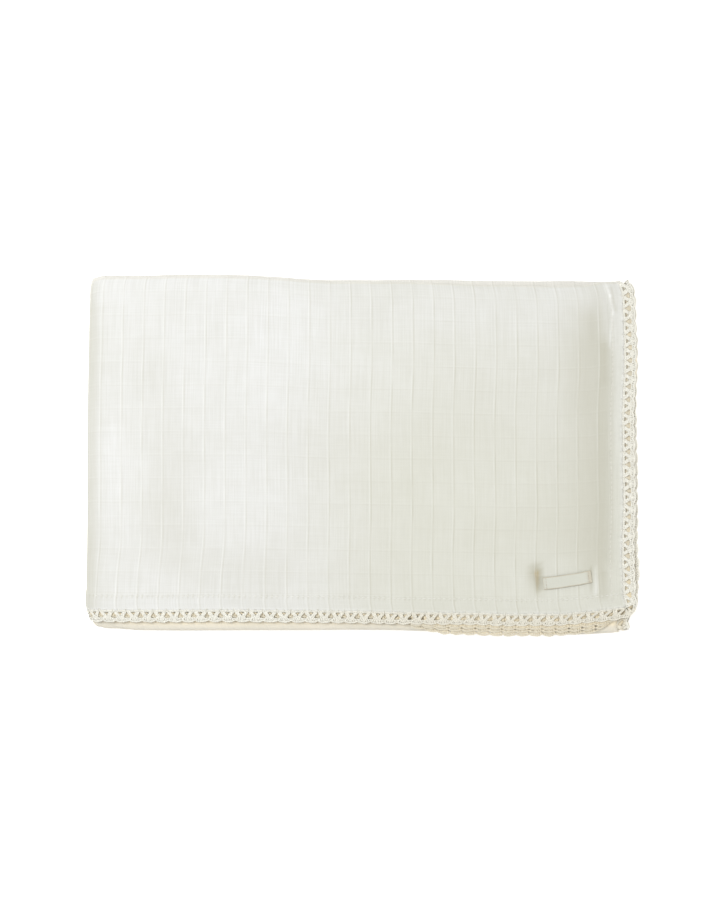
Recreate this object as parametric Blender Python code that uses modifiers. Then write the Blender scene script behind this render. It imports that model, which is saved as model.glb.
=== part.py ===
"""A muslin swaddle blanket with a crocheted edging, folded flat.

The square cloth is folded sideways into a strip of four plies, and the strip is folded back and forth
into six layers. Its left and back sides are folds; its right and front sides hold the hemmed edges.

Metres. +X runs across the bundle to the open hems, +Y to the back folds, +Z up.
The origin is on the surface the bundle lies on, under the middle of its outline.
"""
import math
from collections import namedtuple

import bmesh
import bpy
import numpy as np
from mathutils import Vector

MM = 0.001

# Driving dimensions
LAYERS = 6
LAYER_THICKNESS = 2.2 * MM  # four plies of muslin
LAYER_PITCH = 2.75 * MM     # one layer's middle to the next
FOLD_STEPS = 5              # facets round one fold
EDGE_ROUNDING = 0.7 * MM
CLEARANCE = 0.3 * MM        # between neighbouring pieces
EDGING_WIDTH = 6.8 * MM
EDGING_THICKNESS = 1.6 * MM
LABEL_SIZE = Vector((28.0, 7.2)) * MM
LABEL_CENTRE = Vector((114.0, -70.0)) * MM
LABEL_TURN = math.radians(4.0)
LABEL_THICKNESS = 1.0 * MM

# Where the folds and hems run, in millimetres, for places from the left side to the right.
# back: the furthest back fold. front: the furthest front fold. hem: the free edge of the cloth.
FoldLine = namedtuple("FoldLine", "x back front hem")
FOLD_LINES = (
    FoldLine(-153.6, 95.0, -92.0, -86.2),
    FoldLine(-150.5, 98.2, -94.6, -86.7),
    FoldLine(-146.0, 99.9, -96.0, -86.8),
    FoldLine(-130.0, 100.2, -96.8, -86.8),
    FoldLine(-110.0, 99.9, -97.1, -86.8),
    FoldLine(-74.0, 100.4, -97.3, -86.9),
    FoldLine(-29.0, 97.9, -97.4, -87.3),
    FoldLine(32.0, 97.4, -97.9, -88.3),
    FoldLine(88.0, 97.1, -99.6, -88.9),
    FoldLine(126.0, 96.5, -100.4, -87.5),
    FoldLine(140.0, 96.2, -99.0, -85.8),
    FoldLine(146.0, 95.0, -95.6, -85.2),
    FoldLine(153.6, 91.5, -90.0, -85.0),
)

# Where the side folds and side hems run, in millimetres, from the front to the back.
# left: the folded side. right: the free edge of the edging on the lower layers.
SideLine = namedtuple("SideLine", "y left right")
SIDE_LINES = (
    SideLine(-100.4, -152.0, 146.0),
    SideLine(-92.0, -153.2, 149.2),
    SideLine(-80.0, -153.6, 153.0),
    SideLine(-60.0, -153.4, 153.8),
    SideLine(-36.0, -153.0, 154.0),
    SideLine(14.0, -152.5, 152.7),
    SideLine(41.0, -152.4, 151.6),
    SideLine(86.0, -151.2, 151.0),
    SideLine(94.0, -150.4, 149.4),
    SideLine(100.4, -149.0, 147.0),
)

# How far each layer draws in from those lines, in millimetres, from the top layer down.
LayerInset = namedtuple("LayerInset", "left right back front")
LAYER_INSETS = (
    LayerInset(0.9, 2.0, 1.6, 0.0),
    LayerInset(0.5, 1.4, 1.6, 0.9),
    LayerInset(0.2, 0.6, 0.0, 0.9),
    LayerInset(0.0, 0.0, 0.0, 0.0),
    LayerInset(0.2, 0.3, 0.8, 0.0),
    LayerInset(0.6, 0.8, 0.8, 0.0),
)

# How springy the folded stack stands: its height as a share of the nominal, from front to back
# and from left to right.
LoftPoint = namedtuple("LoftPoint", "place share")
LOFT_ALONG = (LoftPoint(-95.0, 0.975), LoftPoint(-40.0, 0.99), LoftPoint(30.0, 1.0), LoftPoint(95.0, 1.01))
LOFT_ACROSS = (
    LoftPoint(-150.0, 0.985),
    LoftPoint(-60.0, 1.0),
    LoftPoint(60.0, 1.0),
    LoftPoint(128.0, 0.965),
    LoftPoint(146.0, 0.985),
)

# Stations of the sheets: shares of the way across, and of each layer's way from front to back.
ACROSS = (0.0, 0.01, 0.025, 0.08, 0.15, 0.27, 0.42, 0.6, 0.78, 0.9, 0.955, 0.98, 1.0)
ALONG = (0.0, 0.03, 0.12, 0.4, 0.7, 0.93, 1.0)

# One station along the folded strip. share goes from 0 at a layer's front to 1 at its back, turn is
# the angle round the fold after the layer, and overhang is the distance past the hem.
Station = namedtuple("Station", "layer share turn overhang")
# One station across it: share goes from 0 at the left fold to 1 at the right hem.
Column = namedtuple("Column", "share overhang")


def read_lines(lines, key, name, place):
    """One named column of a table of lines, at a place in metres."""
    places = [getattr(line, key) for line in lines]
    values = [getattr(line, name) for line in lines]
    return float(np.interp(place / MM, places, values)) * MM


def loft(x, y):
    """The stack's height at one place, as a share of its nominal height."""
    along = np.interp(y / MM, *zip(*LOFT_ALONG))
    across = np.interp(x / MM, *zip(*LOFT_ACROSS))
    return float(along * across)


def layer_height(layer, x, y):
    """Height of a layer's middle: the bottom layer lies flat on the surface."""
    above = (LAYERS - 1 - layer) * LAYER_PITCH
    return LAYER_THICKNESS / 2 + above * loft(x, y)


def fold_reach(layer, side, x):
    """Where the middle of a layer turns into its back or front fold."""
    line = read_lines(FOLD_LINES, "x", side, x)
    inset = getattr(LAYER_INSETS[layer], side) * MM + (LAYER_PITCH + LAYER_THICKNESS) / 2
    return line - math.copysign(inset, line)


def column_x(layer, column, y):
    """Place across the bundle of a column, on one layer at one distance from the back."""
    inset = LAYER_INSETS[layer]
    left = read_lines(SIDE_LINES, "y", "left", y) + inset.left * MM
    right = read_lines(SIDE_LINES, "y", "right", y) - inset.right * MM - EDGING_WIDTH
    return left + column.share * (right - left) + column.overhang


def layer_ends(layer, x):
    """The front and back ends of a layer's flat run."""
    if layer in (0, LAYERS - 1):
        front = read_lines(FOLD_LINES, "x", "hem", x)
    else:
        front = fold_reach(layer, "front", x)
    return front, fold_reach(layer, "back", x)


def folded_point(station, column):
    """The point of the folded strip's middle surface at a station and a column."""
    rough_y = np.interp(station.share, (0.0, 1.0), (FOLD_LINES[4].front * MM, FOLD_LINES[4].back * MM))
    x = column_x(station.layer, column, rough_y)
    front, back = layer_ends(station.layer, x)
    y = front + station.share * (back - front) - station.overhang
    z = layer_height(station.layer, x, y)
    if station.turn == 0.0:
        return Vector((x, y, z))
    next_x = column_x(station.layer + 1, column, rough_y)
    next_y = layer_ends(station.layer + 1, next_x)[int(station.share)]
    next_z = layer_height(station.layer + 1, next_x, next_y)
    way = station.turn / math.pi
    radius = (z - next_z) / 2
    outwards = math.copysign(radius * math.sin(station.turn), y)
    return Vector((
        x + way * (next_x - x),
        y + way * (next_y - y) + outwards,
        (z + next_z) / 2 + radius * math.cos(station.turn),
    ))


def strip_stations():
    """Stations along the strip, from the top layer's hem to the bottom layer's."""
    stations = []
    for layer in range(LAYERS):
        to_back = layer % 2 == 0
        shares = ALONG if to_back else ALONG[::-1]
        stations += [Station(layer, share, 0.0, 0.0) for share in shares]
        if layer < LAYERS - 1:
            turns = (math.pi * step / FOLD_STEPS for step in range(1, FOLD_STEPS))
            stations += [Station(layer, shares[-1], turn, 0.0) for turn in turns]
    return stations


def grid_object(name, rows, columns, point, left_out=()):
    """A grid of faces laid through point(row, column), without the cells in left_out."""
    mesh = bpy.data.meshes.new(name)
    bm = bmesh.new()
    bmesh.ops.create_grid(bm, x_segments=len(columns) - 1, y_segments=len(rows) - 1, size=0.5)
    cells = {}
    for face in bm.faces:
        middle = face.calc_center_median()
        cell = (
            int((middle.y + 0.5) * (len(rows) - 1)),
            int((middle.x + 0.5) * (len(columns) - 1)),
        )
        cells[cell] = face
    for vert in bm.verts:
        row = round((vert.co.y + 0.5) * (len(rows) - 1))
        column = round((vert.co.x + 0.5) * (len(columns) - 1))
        vert.co = point(rows[row], columns[column])
    bmesh.ops.delete(bm, geom=[cells[cell] for cell in left_out], context="FACES")
    bm.to_mesh(mesh)
    bm.free()
    return bpy.data.objects.new(name, mesh)


def thicken(obj, thickness, rounding):
    """Gives a sheet its thickness on both sides, and rounds its rim."""
    solidify = obj.modifiers.new("Thickness", "SOLIDIFY")
    solidify.thickness = thickness
    solidify.offset = 0.0
    solidify.use_even_offset = True
    bevel = obj.modifiers.new("Rim", "BEVEL")
    bevel.width = rounding
    bevel.segments = 2
    bevel.limit_method = "ANGLE"
    bevel.angle_limit = math.radians(60.0)
    bevel.use_clamp_overlap = False


def make_material(name, color, roughness):
    """A plain cloth finish."""
    material = bpy.data.materials.new(name)
    material.use_nodes = True
    shader = material.node_tree.nodes["Principled BSDF"]
    shader.inputs["Base Color"].default_value = (*color, 1.0)
    shader.inputs["Roughness"].default_value = roughness
    shader.inputs["Metallic"].default_value = 0.0
    return material


def make_cloth():
    """The muslin, folded back and forth, with its hems."""
    columns = [Column(share, 0.0) for share in ACROSS]
    cloth = grid_object("swaddle_cloth", strip_stations(), columns, folded_point)
    thicken(cloth, LAYER_THICKNESS, EDGE_ROUNDING)
    cloth.data.materials.append(make_material("muslin", (0.82, 0.82, 0.78), 0.9))
    return cloth


def make_edging():
    """The crocheted edging, along the front hems and down the folded right side."""
    first = Station(0, 0.0, 0.0, EDGING_WIDTH)
    last = Station(LAYERS - 1, 0.0, 0.0, EDGING_WIDTH)
    near_first = first._replace(overhang=CLEARANCE)
    near_last = last._replace(overhang=CLEARANCE)
    rows = [first, near_first] + strip_stations() + [near_last, last]
    columns = [Column(share, 0.0) for share in ACROSS]
    columns += [Column(1.0, CLEARANCE), Column(1.0, EDGING_WIDTH)]
    cloth_cells = [
        (row, column)
        for row in range(1, len(rows) - 2)
        for column in range(len(columns) - 2)
    ]
    edging = grid_object("crochet_edging", rows, columns, folded_point, cloth_cells)
    thicken(edging, EDGING_THICKNESS, EDGE_ROUNDING / 2)
    edging.data.materials.append(make_material("crochet_yarn", (0.80, 0.78, 0.70), 0.9))
    return edging


def make_label():
    """The small side label, lying on the top layer with its ends turned under."""
    axis = Vector((math.cos(LABEL_TURN), math.sin(LABEL_TURN)))
    side = axis.orthogonal()

    def label_point(across, along):
        flat = LABEL_CENTRE + axis * along * LABEL_SIZE.x + side * across * LABEL_SIZE.y
        under = layer_height(0, flat.x, flat.y) + LAYER_THICKNESS / 2
        return Vector((flat.x, flat.y, under + CLEARANCE + LABEL_THICKNESS / 2))

    shares = [step / 6 - 0.5 for step in range(7)]
    label = grid_object("side_label", (0.5, 0.0, -0.5), shares, label_point)
    thicken(label, LABEL_THICKNESS, EDGE_ROUNDING / 2)
    label.data.materials.append(make_material("label_tape", (0.72, 0.71, 0.66), 0.85))
    return label


def build():
    """Builds the folded blanket in its own collection."""
    for obj in list(bpy.data.objects):
        bpy.data.objects.remove(obj, do_unlink=True)
    collection = bpy.data.collections.new("swaddle_blanket")
    bpy.context.scene.collection.children.link(collection)
    for make in (make_cloth, make_edging, make_label):
        piece = make()
        collection.objects.link(piece)
        piece.data.shade_smooth()


build()
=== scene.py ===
"""A muslin swaddle blanket with a crocheted edging, folded flat.

The cloth is worked out flat, in cloth coordinates: across, from the free side hem to the other one, and
along, from the free front hem to the other one. A FoldPlan then folds it sideways into four plies and
back and forth into six layers. The hem stitches, the edging and the label are laid out on the flat cloth
too, and go through the same folds.
"""
import logging
import math
from dataclasses import dataclass, field
from enum import Enum
from typing import Sequence

import bpy
import numpy as np
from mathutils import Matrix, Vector


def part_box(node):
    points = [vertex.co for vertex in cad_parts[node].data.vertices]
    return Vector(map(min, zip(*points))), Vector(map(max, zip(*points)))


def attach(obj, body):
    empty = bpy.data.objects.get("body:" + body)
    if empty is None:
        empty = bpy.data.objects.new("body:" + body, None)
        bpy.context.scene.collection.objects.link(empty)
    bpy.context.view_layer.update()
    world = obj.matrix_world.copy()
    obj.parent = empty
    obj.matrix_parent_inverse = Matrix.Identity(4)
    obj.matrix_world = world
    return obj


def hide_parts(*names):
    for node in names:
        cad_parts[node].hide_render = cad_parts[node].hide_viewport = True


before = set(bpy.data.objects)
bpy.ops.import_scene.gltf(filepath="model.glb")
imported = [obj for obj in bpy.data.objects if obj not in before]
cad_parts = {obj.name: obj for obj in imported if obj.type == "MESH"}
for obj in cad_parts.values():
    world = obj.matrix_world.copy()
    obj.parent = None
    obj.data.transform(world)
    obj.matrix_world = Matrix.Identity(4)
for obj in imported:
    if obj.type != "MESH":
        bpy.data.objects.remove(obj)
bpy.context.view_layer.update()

MM = 0.001
BODY = "root"
LOG = logging.getLogger("swaddle")

Points = np.ndarray
Color = tuple[float, float, float]
Socket = bpy.types.NodeSocket


def smooth_step(value: Points) -> Points:
    """Eases 0..1 in and out, and holds the ends."""
    t = np.clip(value, 0.0, 1.0)
    return t * t * (3.0 - 2.0 * t)


def waves(value: Points, seed: int, lengths: Sequence[float]) -> Points:
    """A smooth uneven line made of a few waves.

    Args:
        value: Places along the line, in metres.
        seed: Picks the waves' phases.
        lengths: The wave lengths, in metres, longest first.

    Returns:
        Heights between about -1 and 1.
    """
    phases = np.random.default_rng(seed).uniform(0.0, 2.0 * math.pi, len(lengths))
    shares = np.array([0.7 ** rank for rank in range(len(lengths))])
    shares = shares / shares.sum()
    total = np.zeros_like(np.asarray(value, dtype=float))
    for length, phase, share in zip(lengths, phases, shares):
        total = total + share * np.sin(2.0 * math.pi * value / length + phase)
    return total


@dataclass(frozen=True)
class Line:
    """A line drawn through a few (place, value) knots, in millimetres."""

    knots: tuple[tuple[float, float], ...]

    def at(self, place: Points) -> Points:
        """The line's value at places in metres, in metres."""
        places, values = np.array(self.knots).T * MM
        slopes = np.gradient(values, places)
        cell = np.clip(np.searchsorted(places, place) - 1, 0, len(places) - 2)
        span = places[cell + 1] - places[cell]
        t = np.clip((place - places[cell]) / span, 0.0, 1.0)
        ahead = values[cell] + slopes[cell] * t * span
        behind = values[cell + 1] - slopes[cell + 1] * (1.0 - t) * span
        ease = smooth_step(t)
        return (1.0 - ease) * ahead + ease * behind


@dataclass(frozen=True)
class Stroke:
    """A soft line on the folded bundle: a crease's trough or ridge, or a stroke of painted shade, which is a
    painted highlight where its amount is negative.

    Its ends and its width are in millimetres.
    """

    start: tuple[float, float]
    end: tuple[float, float]
    width: float
    amount: float

    def at(self, x: Points, y: Points) -> Points:
        """Strength of the stroke at places on the top."""
        start = np.array(self.start) * MM
        run = np.array(self.end) * MM - start
        length = float(np.hypot(*run))
        run = run / length
        along = (x - start[0]) * run[0] + (y - start[1]) * run[1]
        aside = (x - start[0]) * run[1] - (y - start[1]) * run[0]
        width = self.width * MM
        past_end = np.maximum(0.0, np.maximum(-along, along - length))
        return self.amount * np.exp(-((aside / width) ** 2) - (past_end / width) ** 2)


@dataclass
class FoldPlan:
    """How the flat cloth is folded, and how unevenly the folded stack lies.

    Sizes are in metres, and the knots of lines in millimetres.
    """

    plies: int = 4
    layers: int = 6
    ply_pitch: float = 0.60 * MM
    layer_pitch: float = 2.75 * MM
    bottom_middle: float = 1.11 * MM
    hem_side: float = 145.0 * MM
    fold_side: float = -151.5 * MM
    hem_front: float = -86.8 * MM
    fold_front: float = -95.6 * MM
    fold_back: float = 96.6 * MM
    left_line: Line = Line((
        (-98, 3.2), (-94, 0.9), (-88, -1.6), (-76, -2.0), (-50, -1.55), (-20, -1.25), (30, -1.15),
        (58, -0.55), (86, 0.1), (93, 0.4), (97, 1.0), (100, 2.4),
    ))
    side_line: Line = Line((
        (-98, -1.6), (-91, -0.7), (-86, 1.7), (-82, 0.9), (-74, 0.3), (-30, 0.2), (20, 0.1), (84, 0.2),
        (91, -0.2), (96, -1.3), (99, -2.4),
    ))
    lower_side_line: Line = Line((
        (-98, -3.0), (-92, -3.5), (-88, -2.9), (-83, 0.0), (-76, 1.2), (-50, 1.4), (-20, 1.1), (10, 0.7),
        (26, 0.3), (36, -1.2), (60, -1.4), (97, -1.2),
    ))
    back_line: Line = Line((
        (-153, -1.0), (-148, 0.7), (-143, 0.9), (-129, 0.9), (-96, 1.4), (-74, 1.2), (-51, 0.3),
        (-29, -1.3), (0, -1.5), (32, -1.4), (60, -1.9), (126, -2.4), (143, -2.5), (149, -2.2), (155, -2.4),
    ))
    front_line: Line = Line((
        (-152, 3.8), (-147, 1.7), (-138, 0.9), (-129, 0.6), (-96, 0.3), (-29, 0.4), (32, 0.1), (49, -0.4),
        (65, -0.9), (98, -1.5), (126, -2.0), (138, -1.3), (143, -1.0), (148, 0.2), (152, 2.0),
    ))
    hem_line: Line = Line((
        (-150, 0.2), (-100, -0.1), (-50, -0.1), (20, -1.0), (60, -1.7), (92, -2.2), (120, -1.2),
        (146, 1.8),
    ))
    lower_side_share: tuple[float, ...] = (0.0, 1.0, 0.85, 0.6, 0.8, 0.3)
    inner_fold: tuple[float, ...] = (4.3, 4.4, 3.6, 3.2, 3.6, 1.5)
    fan_step: float = 1.8 * MM
    hem_steps: tuple[float, ...] = (0.0, 0.27, 0.09, 0.3)
    hem_tucks: tuple[float, ...] = (0.0, 2.5, 3.2, 2.2)
    top_back_knots: tuple[tuple[float, float], ...] = (
        (-153, -1.3), (-60, -1.3), (-29, -1.2), (32, -1.9), (60, -2.4), (110, -2.9), (126, -2.6),
        (134, -0.9), (148, -0.6),
    )
    skew: float = 2.1 * MM
    lowest: float = 0.02 * MM
    left_inset: tuple[float, ...] = (0.5, 0.3, 0.0, -0.2, 0.0, 0.5)
    back_inset: tuple[float, ...] = (0.0, 0.0, -0.5)
    front_inset: tuple[float, ...] = (0.0, 0.5)
    creases: tuple[Stroke, ...] = (
        Stroke((127.0, 78.0), (128.5, -48.0), 8.5, -1.2),
        Stroke((104.0, 90.0), (106.0, -20.0), 9.0, -0.35),
        Stroke((-146.0, 84.0), (-148.0, -60.0), 5.0, -0.5),
        Stroke((-120.0, -30.0), (-132.0, -84.0), 7.0, 0.28),
        Stroke((-98.0, -40.0), (-108.0, -86.0), 6.0, -0.25),
        Stroke((60.0, 60.0), (52.0, -70.0), 16.0, 0.25),
        Stroke((-50.0, 90.0), (-46.0, -60.0), 18.0, -0.2),
        Stroke((95.0, -63.0), (99.0, -76.0), 2.6, -1.1),
        Stroke((91.0, -60.0), (95.0, -76.0), 2.2, 0.35),
        Stroke((129.1, -62.0), (129.8, -76.0), 1.3, 0.6),
        Stroke((133.5, 94.0), (138.3, 80.0), 1.3, 0.4),
    )
    # Strokes of painted shade on the top ply; a negative amount paints a highlight.
    shade_strokes: tuple[Stroke, ...] = (
        # Painted shade in the broad trough beside the right hem, and a painted highlight on the hem's
        # brighter rise.
        Stroke((127.4, 74.0), (127.0, -60.0), 8.5, 0.48),
        Stroke((133.0, 60.0), (132.0, -78.0), 3.4, 0.28),
        Stroke((115.0, 80.0), (116.0, -50.0), 8.0, 0.16),
        Stroke((106.0, 62.0), (106.0, -48.0), 12.0, 0.09),
        Stroke((121.0, 56.0), (120.0, 30.0), 7.0, 0.10),
        Stroke((131.0, 92.0), (131.0, 66.0), 6.0, 0.16),
        Stroke((134.6, 66.0), (134.9, 40.0), 2.2, 0.16),
        Stroke((135.8, 60.0), (135.2, -58.0), 2.6, 0.26),
        Stroke((138.9, 56.0), (138.7, -62.0), 1.5, 0.20),
        Stroke((143.8, 84.0), (144.0, -62.0), 1.8, -0.13),
        # Quiet shade over the left half and along the left fold.
        Stroke((-130.0, -64.0), (0.0, -60.0), 30.0, 0.10),
        Stroke((-112.0, 46.0), (-106.0, -40.0), 16.0, 0.16),
        Stroke((-118.0, -28.0), (-100.0, -68.0), 13.0, 0.09),
        Stroke((-92.0, -60.0), (-52.0, -64.0), 12.0, 0.09),
        Stroke((-60.0, -60.0), (-20.0, 10.0), 24.0, 0.06),
        Stroke((-147.5, 80.0), (-149.0, -84.0), 5.0, 0.14),
        Stroke((-150.9, 94.0), (-152.6, -92.0), 3.4, 0.46),
        # Painted shadow in the pocket at the label's left end, and painted shade and highlight at the pull at
        # its right end.
        Stroke((96.4, -63.0), (98.6, -76.0), 2.6, 0.95),
        Stroke((96.3, -65.0), (98.3, -75.5), 1.7, 0.95),
        Stroke((126.8, -64.0), (127.6, -76.0), 0.9, 0.60),
        Stroke((129.0, -62.0), (129.6, -77.0), 1.1, -0.55),
        Stroke((134.0, -66.0), (134.6, -78.0), 2.2, 0.38),
        # Painted shade and highlight along the crescent crease near the back right corner.
        Stroke((133.8, 97.0), (137.4, 88.5), 1.1, -0.50),
        Stroke((137.4, 88.5), (139.0, 79.0), 0.75, -0.60),
        Stroke((139.0, 79.0), (137.3, 60.0), 0.6, -0.40),
        Stroke((138.2, 92.5), (140.4, 80.0), 0.9, 0.42),
    )

    def __post_init__(self) -> None:
        """Works out the runs of flat cloth and of folds from the sizes."""
        self.ply_run = self.hem_side - self.fold_side
        self.ply_turn = math.pi * self.ply_pitch / 2.0
        back_run = self.fold_back - self.fold_front
        hem_run = self.fold_back - self.hem_front
        self.layer_runs = np.array([hem_run] + [back_run] * (self.layers - 2) + [hem_run])
        self.layer_turn = math.pi * self.layer_pitch / 2.0
        self.layer_starts = np.concatenate(([0.0], np.cumsum(self.layer_runs[:-1] + self.layer_turn)))
        self.width = self.plies * self.ply_run + (self.plies - 1) * self.ply_turn
        self.length = float(self.layer_runs.sum() + (self.layers - 1) * self.layer_turn)
        self.height = self.bottom_middle * 2.0 + (self.layers - 1) * self.layer_pitch

    def across(self, p: Points) -> tuple[Points, ...]:
        """Folds the cloth sideways.

        Args:
            p: Places across the flat cloth, in metres; outside it the last ply goes straight on.

        Returns:
            The ply, the share of its run, the place across the strip, the place through the
            strip, and the two parts of the cloth's outward direction.
        """
        cell = self.ply_run + self.ply_turn
        ply = np.clip(np.floor(p / cell), 0, self.plies - 1).astype(int)
        local = p - ply * cell
        last = ply == self.plies - 1
        turn = np.where(last, 0.0, np.clip((local - self.ply_run) / self.ply_turn, 0.0, 1.0)) * math.pi
        run = np.where(last, local, np.minimum(local, self.ply_run))
        to_fold = ply % 2 == 0
        x = np.where(to_fold, self.hem_side - run, self.fold_side + run)
        sway = self.ply_pitch / 2.0 * np.sin(turn)
        x = np.where(to_fold, x - sway, x + sway)
        middle = ((self.plies - 1) / 2.0 - ply) * self.ply_pitch
        n = middle - self.ply_pitch / 2.0 * (1.0 - np.cos(turn))
        face_x = -np.sin(turn)
        face_n = np.where(to_fold, np.cos(turn), -np.cos(turn))
        return ply, np.clip(local / self.ply_run, 0.0, 1.0), x, n, face_x, face_n

    def along(self, q: Points) -> tuple[Points, ...]:
        """Folds the strip back and forth.

        Args:
            q: Places along the flat cloth, in metres; outside it the last layer goes straight on.

        Returns:
            The layer, the share of its run, the angle round the fold after it, the place along
            the bundle, the height, and the two parts of the strip's outward direction.
        """
        layer = np.clip(np.searchsorted(self.layer_starts, q, side="right") - 1, 0, self.layers - 1)
        local = q - self.layer_starts[layer]
        runs = self.layer_runs[layer]
        last = layer == self.layers - 1
        turn = np.where(last, 0.0, np.clip((local - runs) / self.layer_turn, 0.0, 1.0)) * math.pi
        run = np.where(last, local, np.minimum(local, runs))
        to_back = layer % 2 == 0
        start = np.where(layer == 0, self.hem_front, self.fold_front)
        y = np.where(to_back, start + run, self.fold_back - run)
        radius = self.layer_pitch / 2.0
        y = np.where(to_back, y + radius * np.sin(turn), y - radius * np.sin(turn))
        top = self.bottom_middle + (self.layers - 1 - layer) * self.layer_pitch
        z = top - radius * (1.0 - np.cos(turn))
        out_z = np.where(to_back, np.cos(turn), -np.cos(turn))
        return layer, np.clip(local / runs, 0.0, 1.0), turn, y, z, np.sin(turn), out_z

    def upward(self, p: Points, q: Points) -> Points:
        """1 where the cloth's right side faces up, -1 where it faces down."""
        raised = self.fold(p, q, np.full_like(p, 0.1 * MM))[:, 2]
        return np.sign(raised - self.fold(p, q, np.zeros_like(p))[:, 2])

    def side_shift(self, turn_index: Points, y: Points, layer: Points, q: Points) -> Points:
        """How far the sideways folds and side hems lie from their plain places.

        Args:
            turn_index: 0 and 4 are the side hems, 1 and 3 the left folds, 2 the inner fold.
            y: Places along the bundle.
            layer: Layers, as fractions round the folds.
            q: Places along the flat cloth.

        Returns:
            Shifts in metres.
        """
        ranks = np.arange(self.layers)
        left = self.left_line.at(y) + np.interp(layer, ranks, self.left_inset) * MM
        lower_share = np.interp(layer, ranks, self.lower_side_share)
        side = self.side_line.at(y) * (1.0 - 0.5 * lower_share) + self.lower_side_line.at(y) * lower_share
        peep = np.exp(-((y - 51.0 * MM) / (15.0 * MM)) ** 2) * np.clip(1.0 - layer / 2.0, 0.0, 1.0)
        fold = (np.interp(layer, ranks, self.inner_fold) + 2.0 * peep) * MM
        uneven = np.zeros_like(y)
        for index in range(self.plies + 1):
            amount = 0.35 if index in (0, self.plies) else 0.25
            uneven = np.where(
                turn_index == index,
                amount * MM * waves(q, 11 + index, (0.21, 0.083, 0.037)),
                uneven,
            )
        edge_room = smooth_step((99.0 * MM - y) / (5.0 * MM)) * smooth_step((y + 98.5 * MM) / (7.0 * MM))
        inner = np.where(turn_index == 2, fold * edge_room, 0.0) + np.where(turn_index == 4, 0.7 * MM, 0.0)
        is_left = turn_index % 2 == 1
        return np.where(is_left, left, side + inner) + uneven

    def end_shift(self, turn_index: Points, x: Points, ply: Points, p: Points) -> Points:
        """How far the front and back folds and the front hems lie from their plain places.

        Args:
            turn_index: 0 and 6 are the front hems, odd ones back folds, even ones front folds.
            x: Places across the bundle.
            ply: Plies, as fractions round the side folds.
            p: Places across the flat cloth.

        Returns:
            Shifts in metres.
        """
        back = self.back_line.at(x)
        front = self.front_line.at(x)
        hem = self.hem_line.at(x)
        fan_room = smooth_step((x - 8.0 * MM) / (44.0 * MM)) * smooth_step((139.0 * MM - x) / (9.0 * MM))
        tucked = smooth_step((34.0 * MM - x) / (30.0 * MM)) + smooth_step((x - 140.0 * MM) / (3.0 * MM))
        ranks = np.arange(self.plies)
        steps = self.fan_step * ply + np.interp(ply, ranks, self.hem_steps) * MM
        fan = np.interp(ply, ranks, self.hem_tucks) * MM * tucked - steps * fan_room
        top_back = np.interp(x, *(np.array(self.top_back_knots).T * MM))
        shift = np.zeros_like(x)
        for index in range(self.layers + 1):
            if index in (0, self.layers):
                value = hem + (fan if index == 0 else 0.0)
            elif index % 2:
                inset = self.back_inset[index // 2] * MM
                value = back + inset + (top_back if index == 1 else 0.0)
            else:
                value = front - self.front_inset[index // 2 - 1] * MM
            value = value + 0.22 * MM * waves(p, 31 + index, (0.17, 0.071, 0.031))
            shift = np.where(turn_index == index, value, shift)
        return shift

    @staticmethod
    def right_falloff_shade(x: Points, y: Points) -> Points:
        """Painted shade where the light falls off towards the right, darker and creamier there, more so
        toward the front and less at the back.
        """
        right = smooth_step((x + 62.0 * MM) / (100.0 * MM))
        back = smooth_step((y - 56.0 * MM) / (24.0 * MM))
        return right * (0.29 + 0.17 * smooth_step((60.0 * MM - y) / (90.0 * MM))) * (1.0 - 0.5 * back)

    def droop(self, x: Points, y: Points) -> Points:
        """How far the top of the stack comes down towards its edges, in metres."""
        left = np.clip(1.0 - (x + 153.0 * MM) / (9.0 * MM), 0.0, 1.0)
        side = np.clip(1.0 - (147.0 * MM - x) / (10.0 * MM), 0.0, 1.4)
        back = np.clip(1.0 - (98.0 * MM - y) / (8.0 * MM), 0.0, 1.0)
        front = np.clip(1.0 - (y + 89.0 * MM) / (10.0 * MM), 0.0, 1.5)
        total = 1.7 * left**2 + 0.5 * side**2 + 1.3 * back**2 + 0.75 * front**2
        return np.minimum(total, 2.6) * MM

    def settle(self, x: Points, y: Points, z: Points) -> Points:
        """Lowers and raises the stack by its loft, droop and creases; the bottom stays flat.

        Args:
            x: Places across the bundle.
            y: Places along it.
            z: Heights in the evenly folded stack.

        Returns:
            Heights in metres.
        """
        share = np.clip(z / self.height, 0.0, 1.1)
        relief = -self.droop(x, y)
        for crease in self.creases:
            relief = relief + crease.at(x, y) * MM
        relief = relief + 0.16 * MM * waves(x + 0.35 * y, 51, (0.093, 0.047, 0.029))
        relief = relief + 0.12 * MM * waves(y - 0.2 * x, 52, (0.081, 0.043))
        return z + relief * share**2

    def lean(self, x: Points, y: Points) -> Points:
        """How far the cloth is skewed to the left near its front left corner."""
        near_hem = smooth_step((-42.0 * MM - y) / (40.0 * MM))
        left = smooth_step((-34.0 * MM - x) / (50.0 * MM)) * smooth_step((x + 153.0 * MM) / (9.0 * MM))
        return -self.skew * near_hem * left

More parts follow.
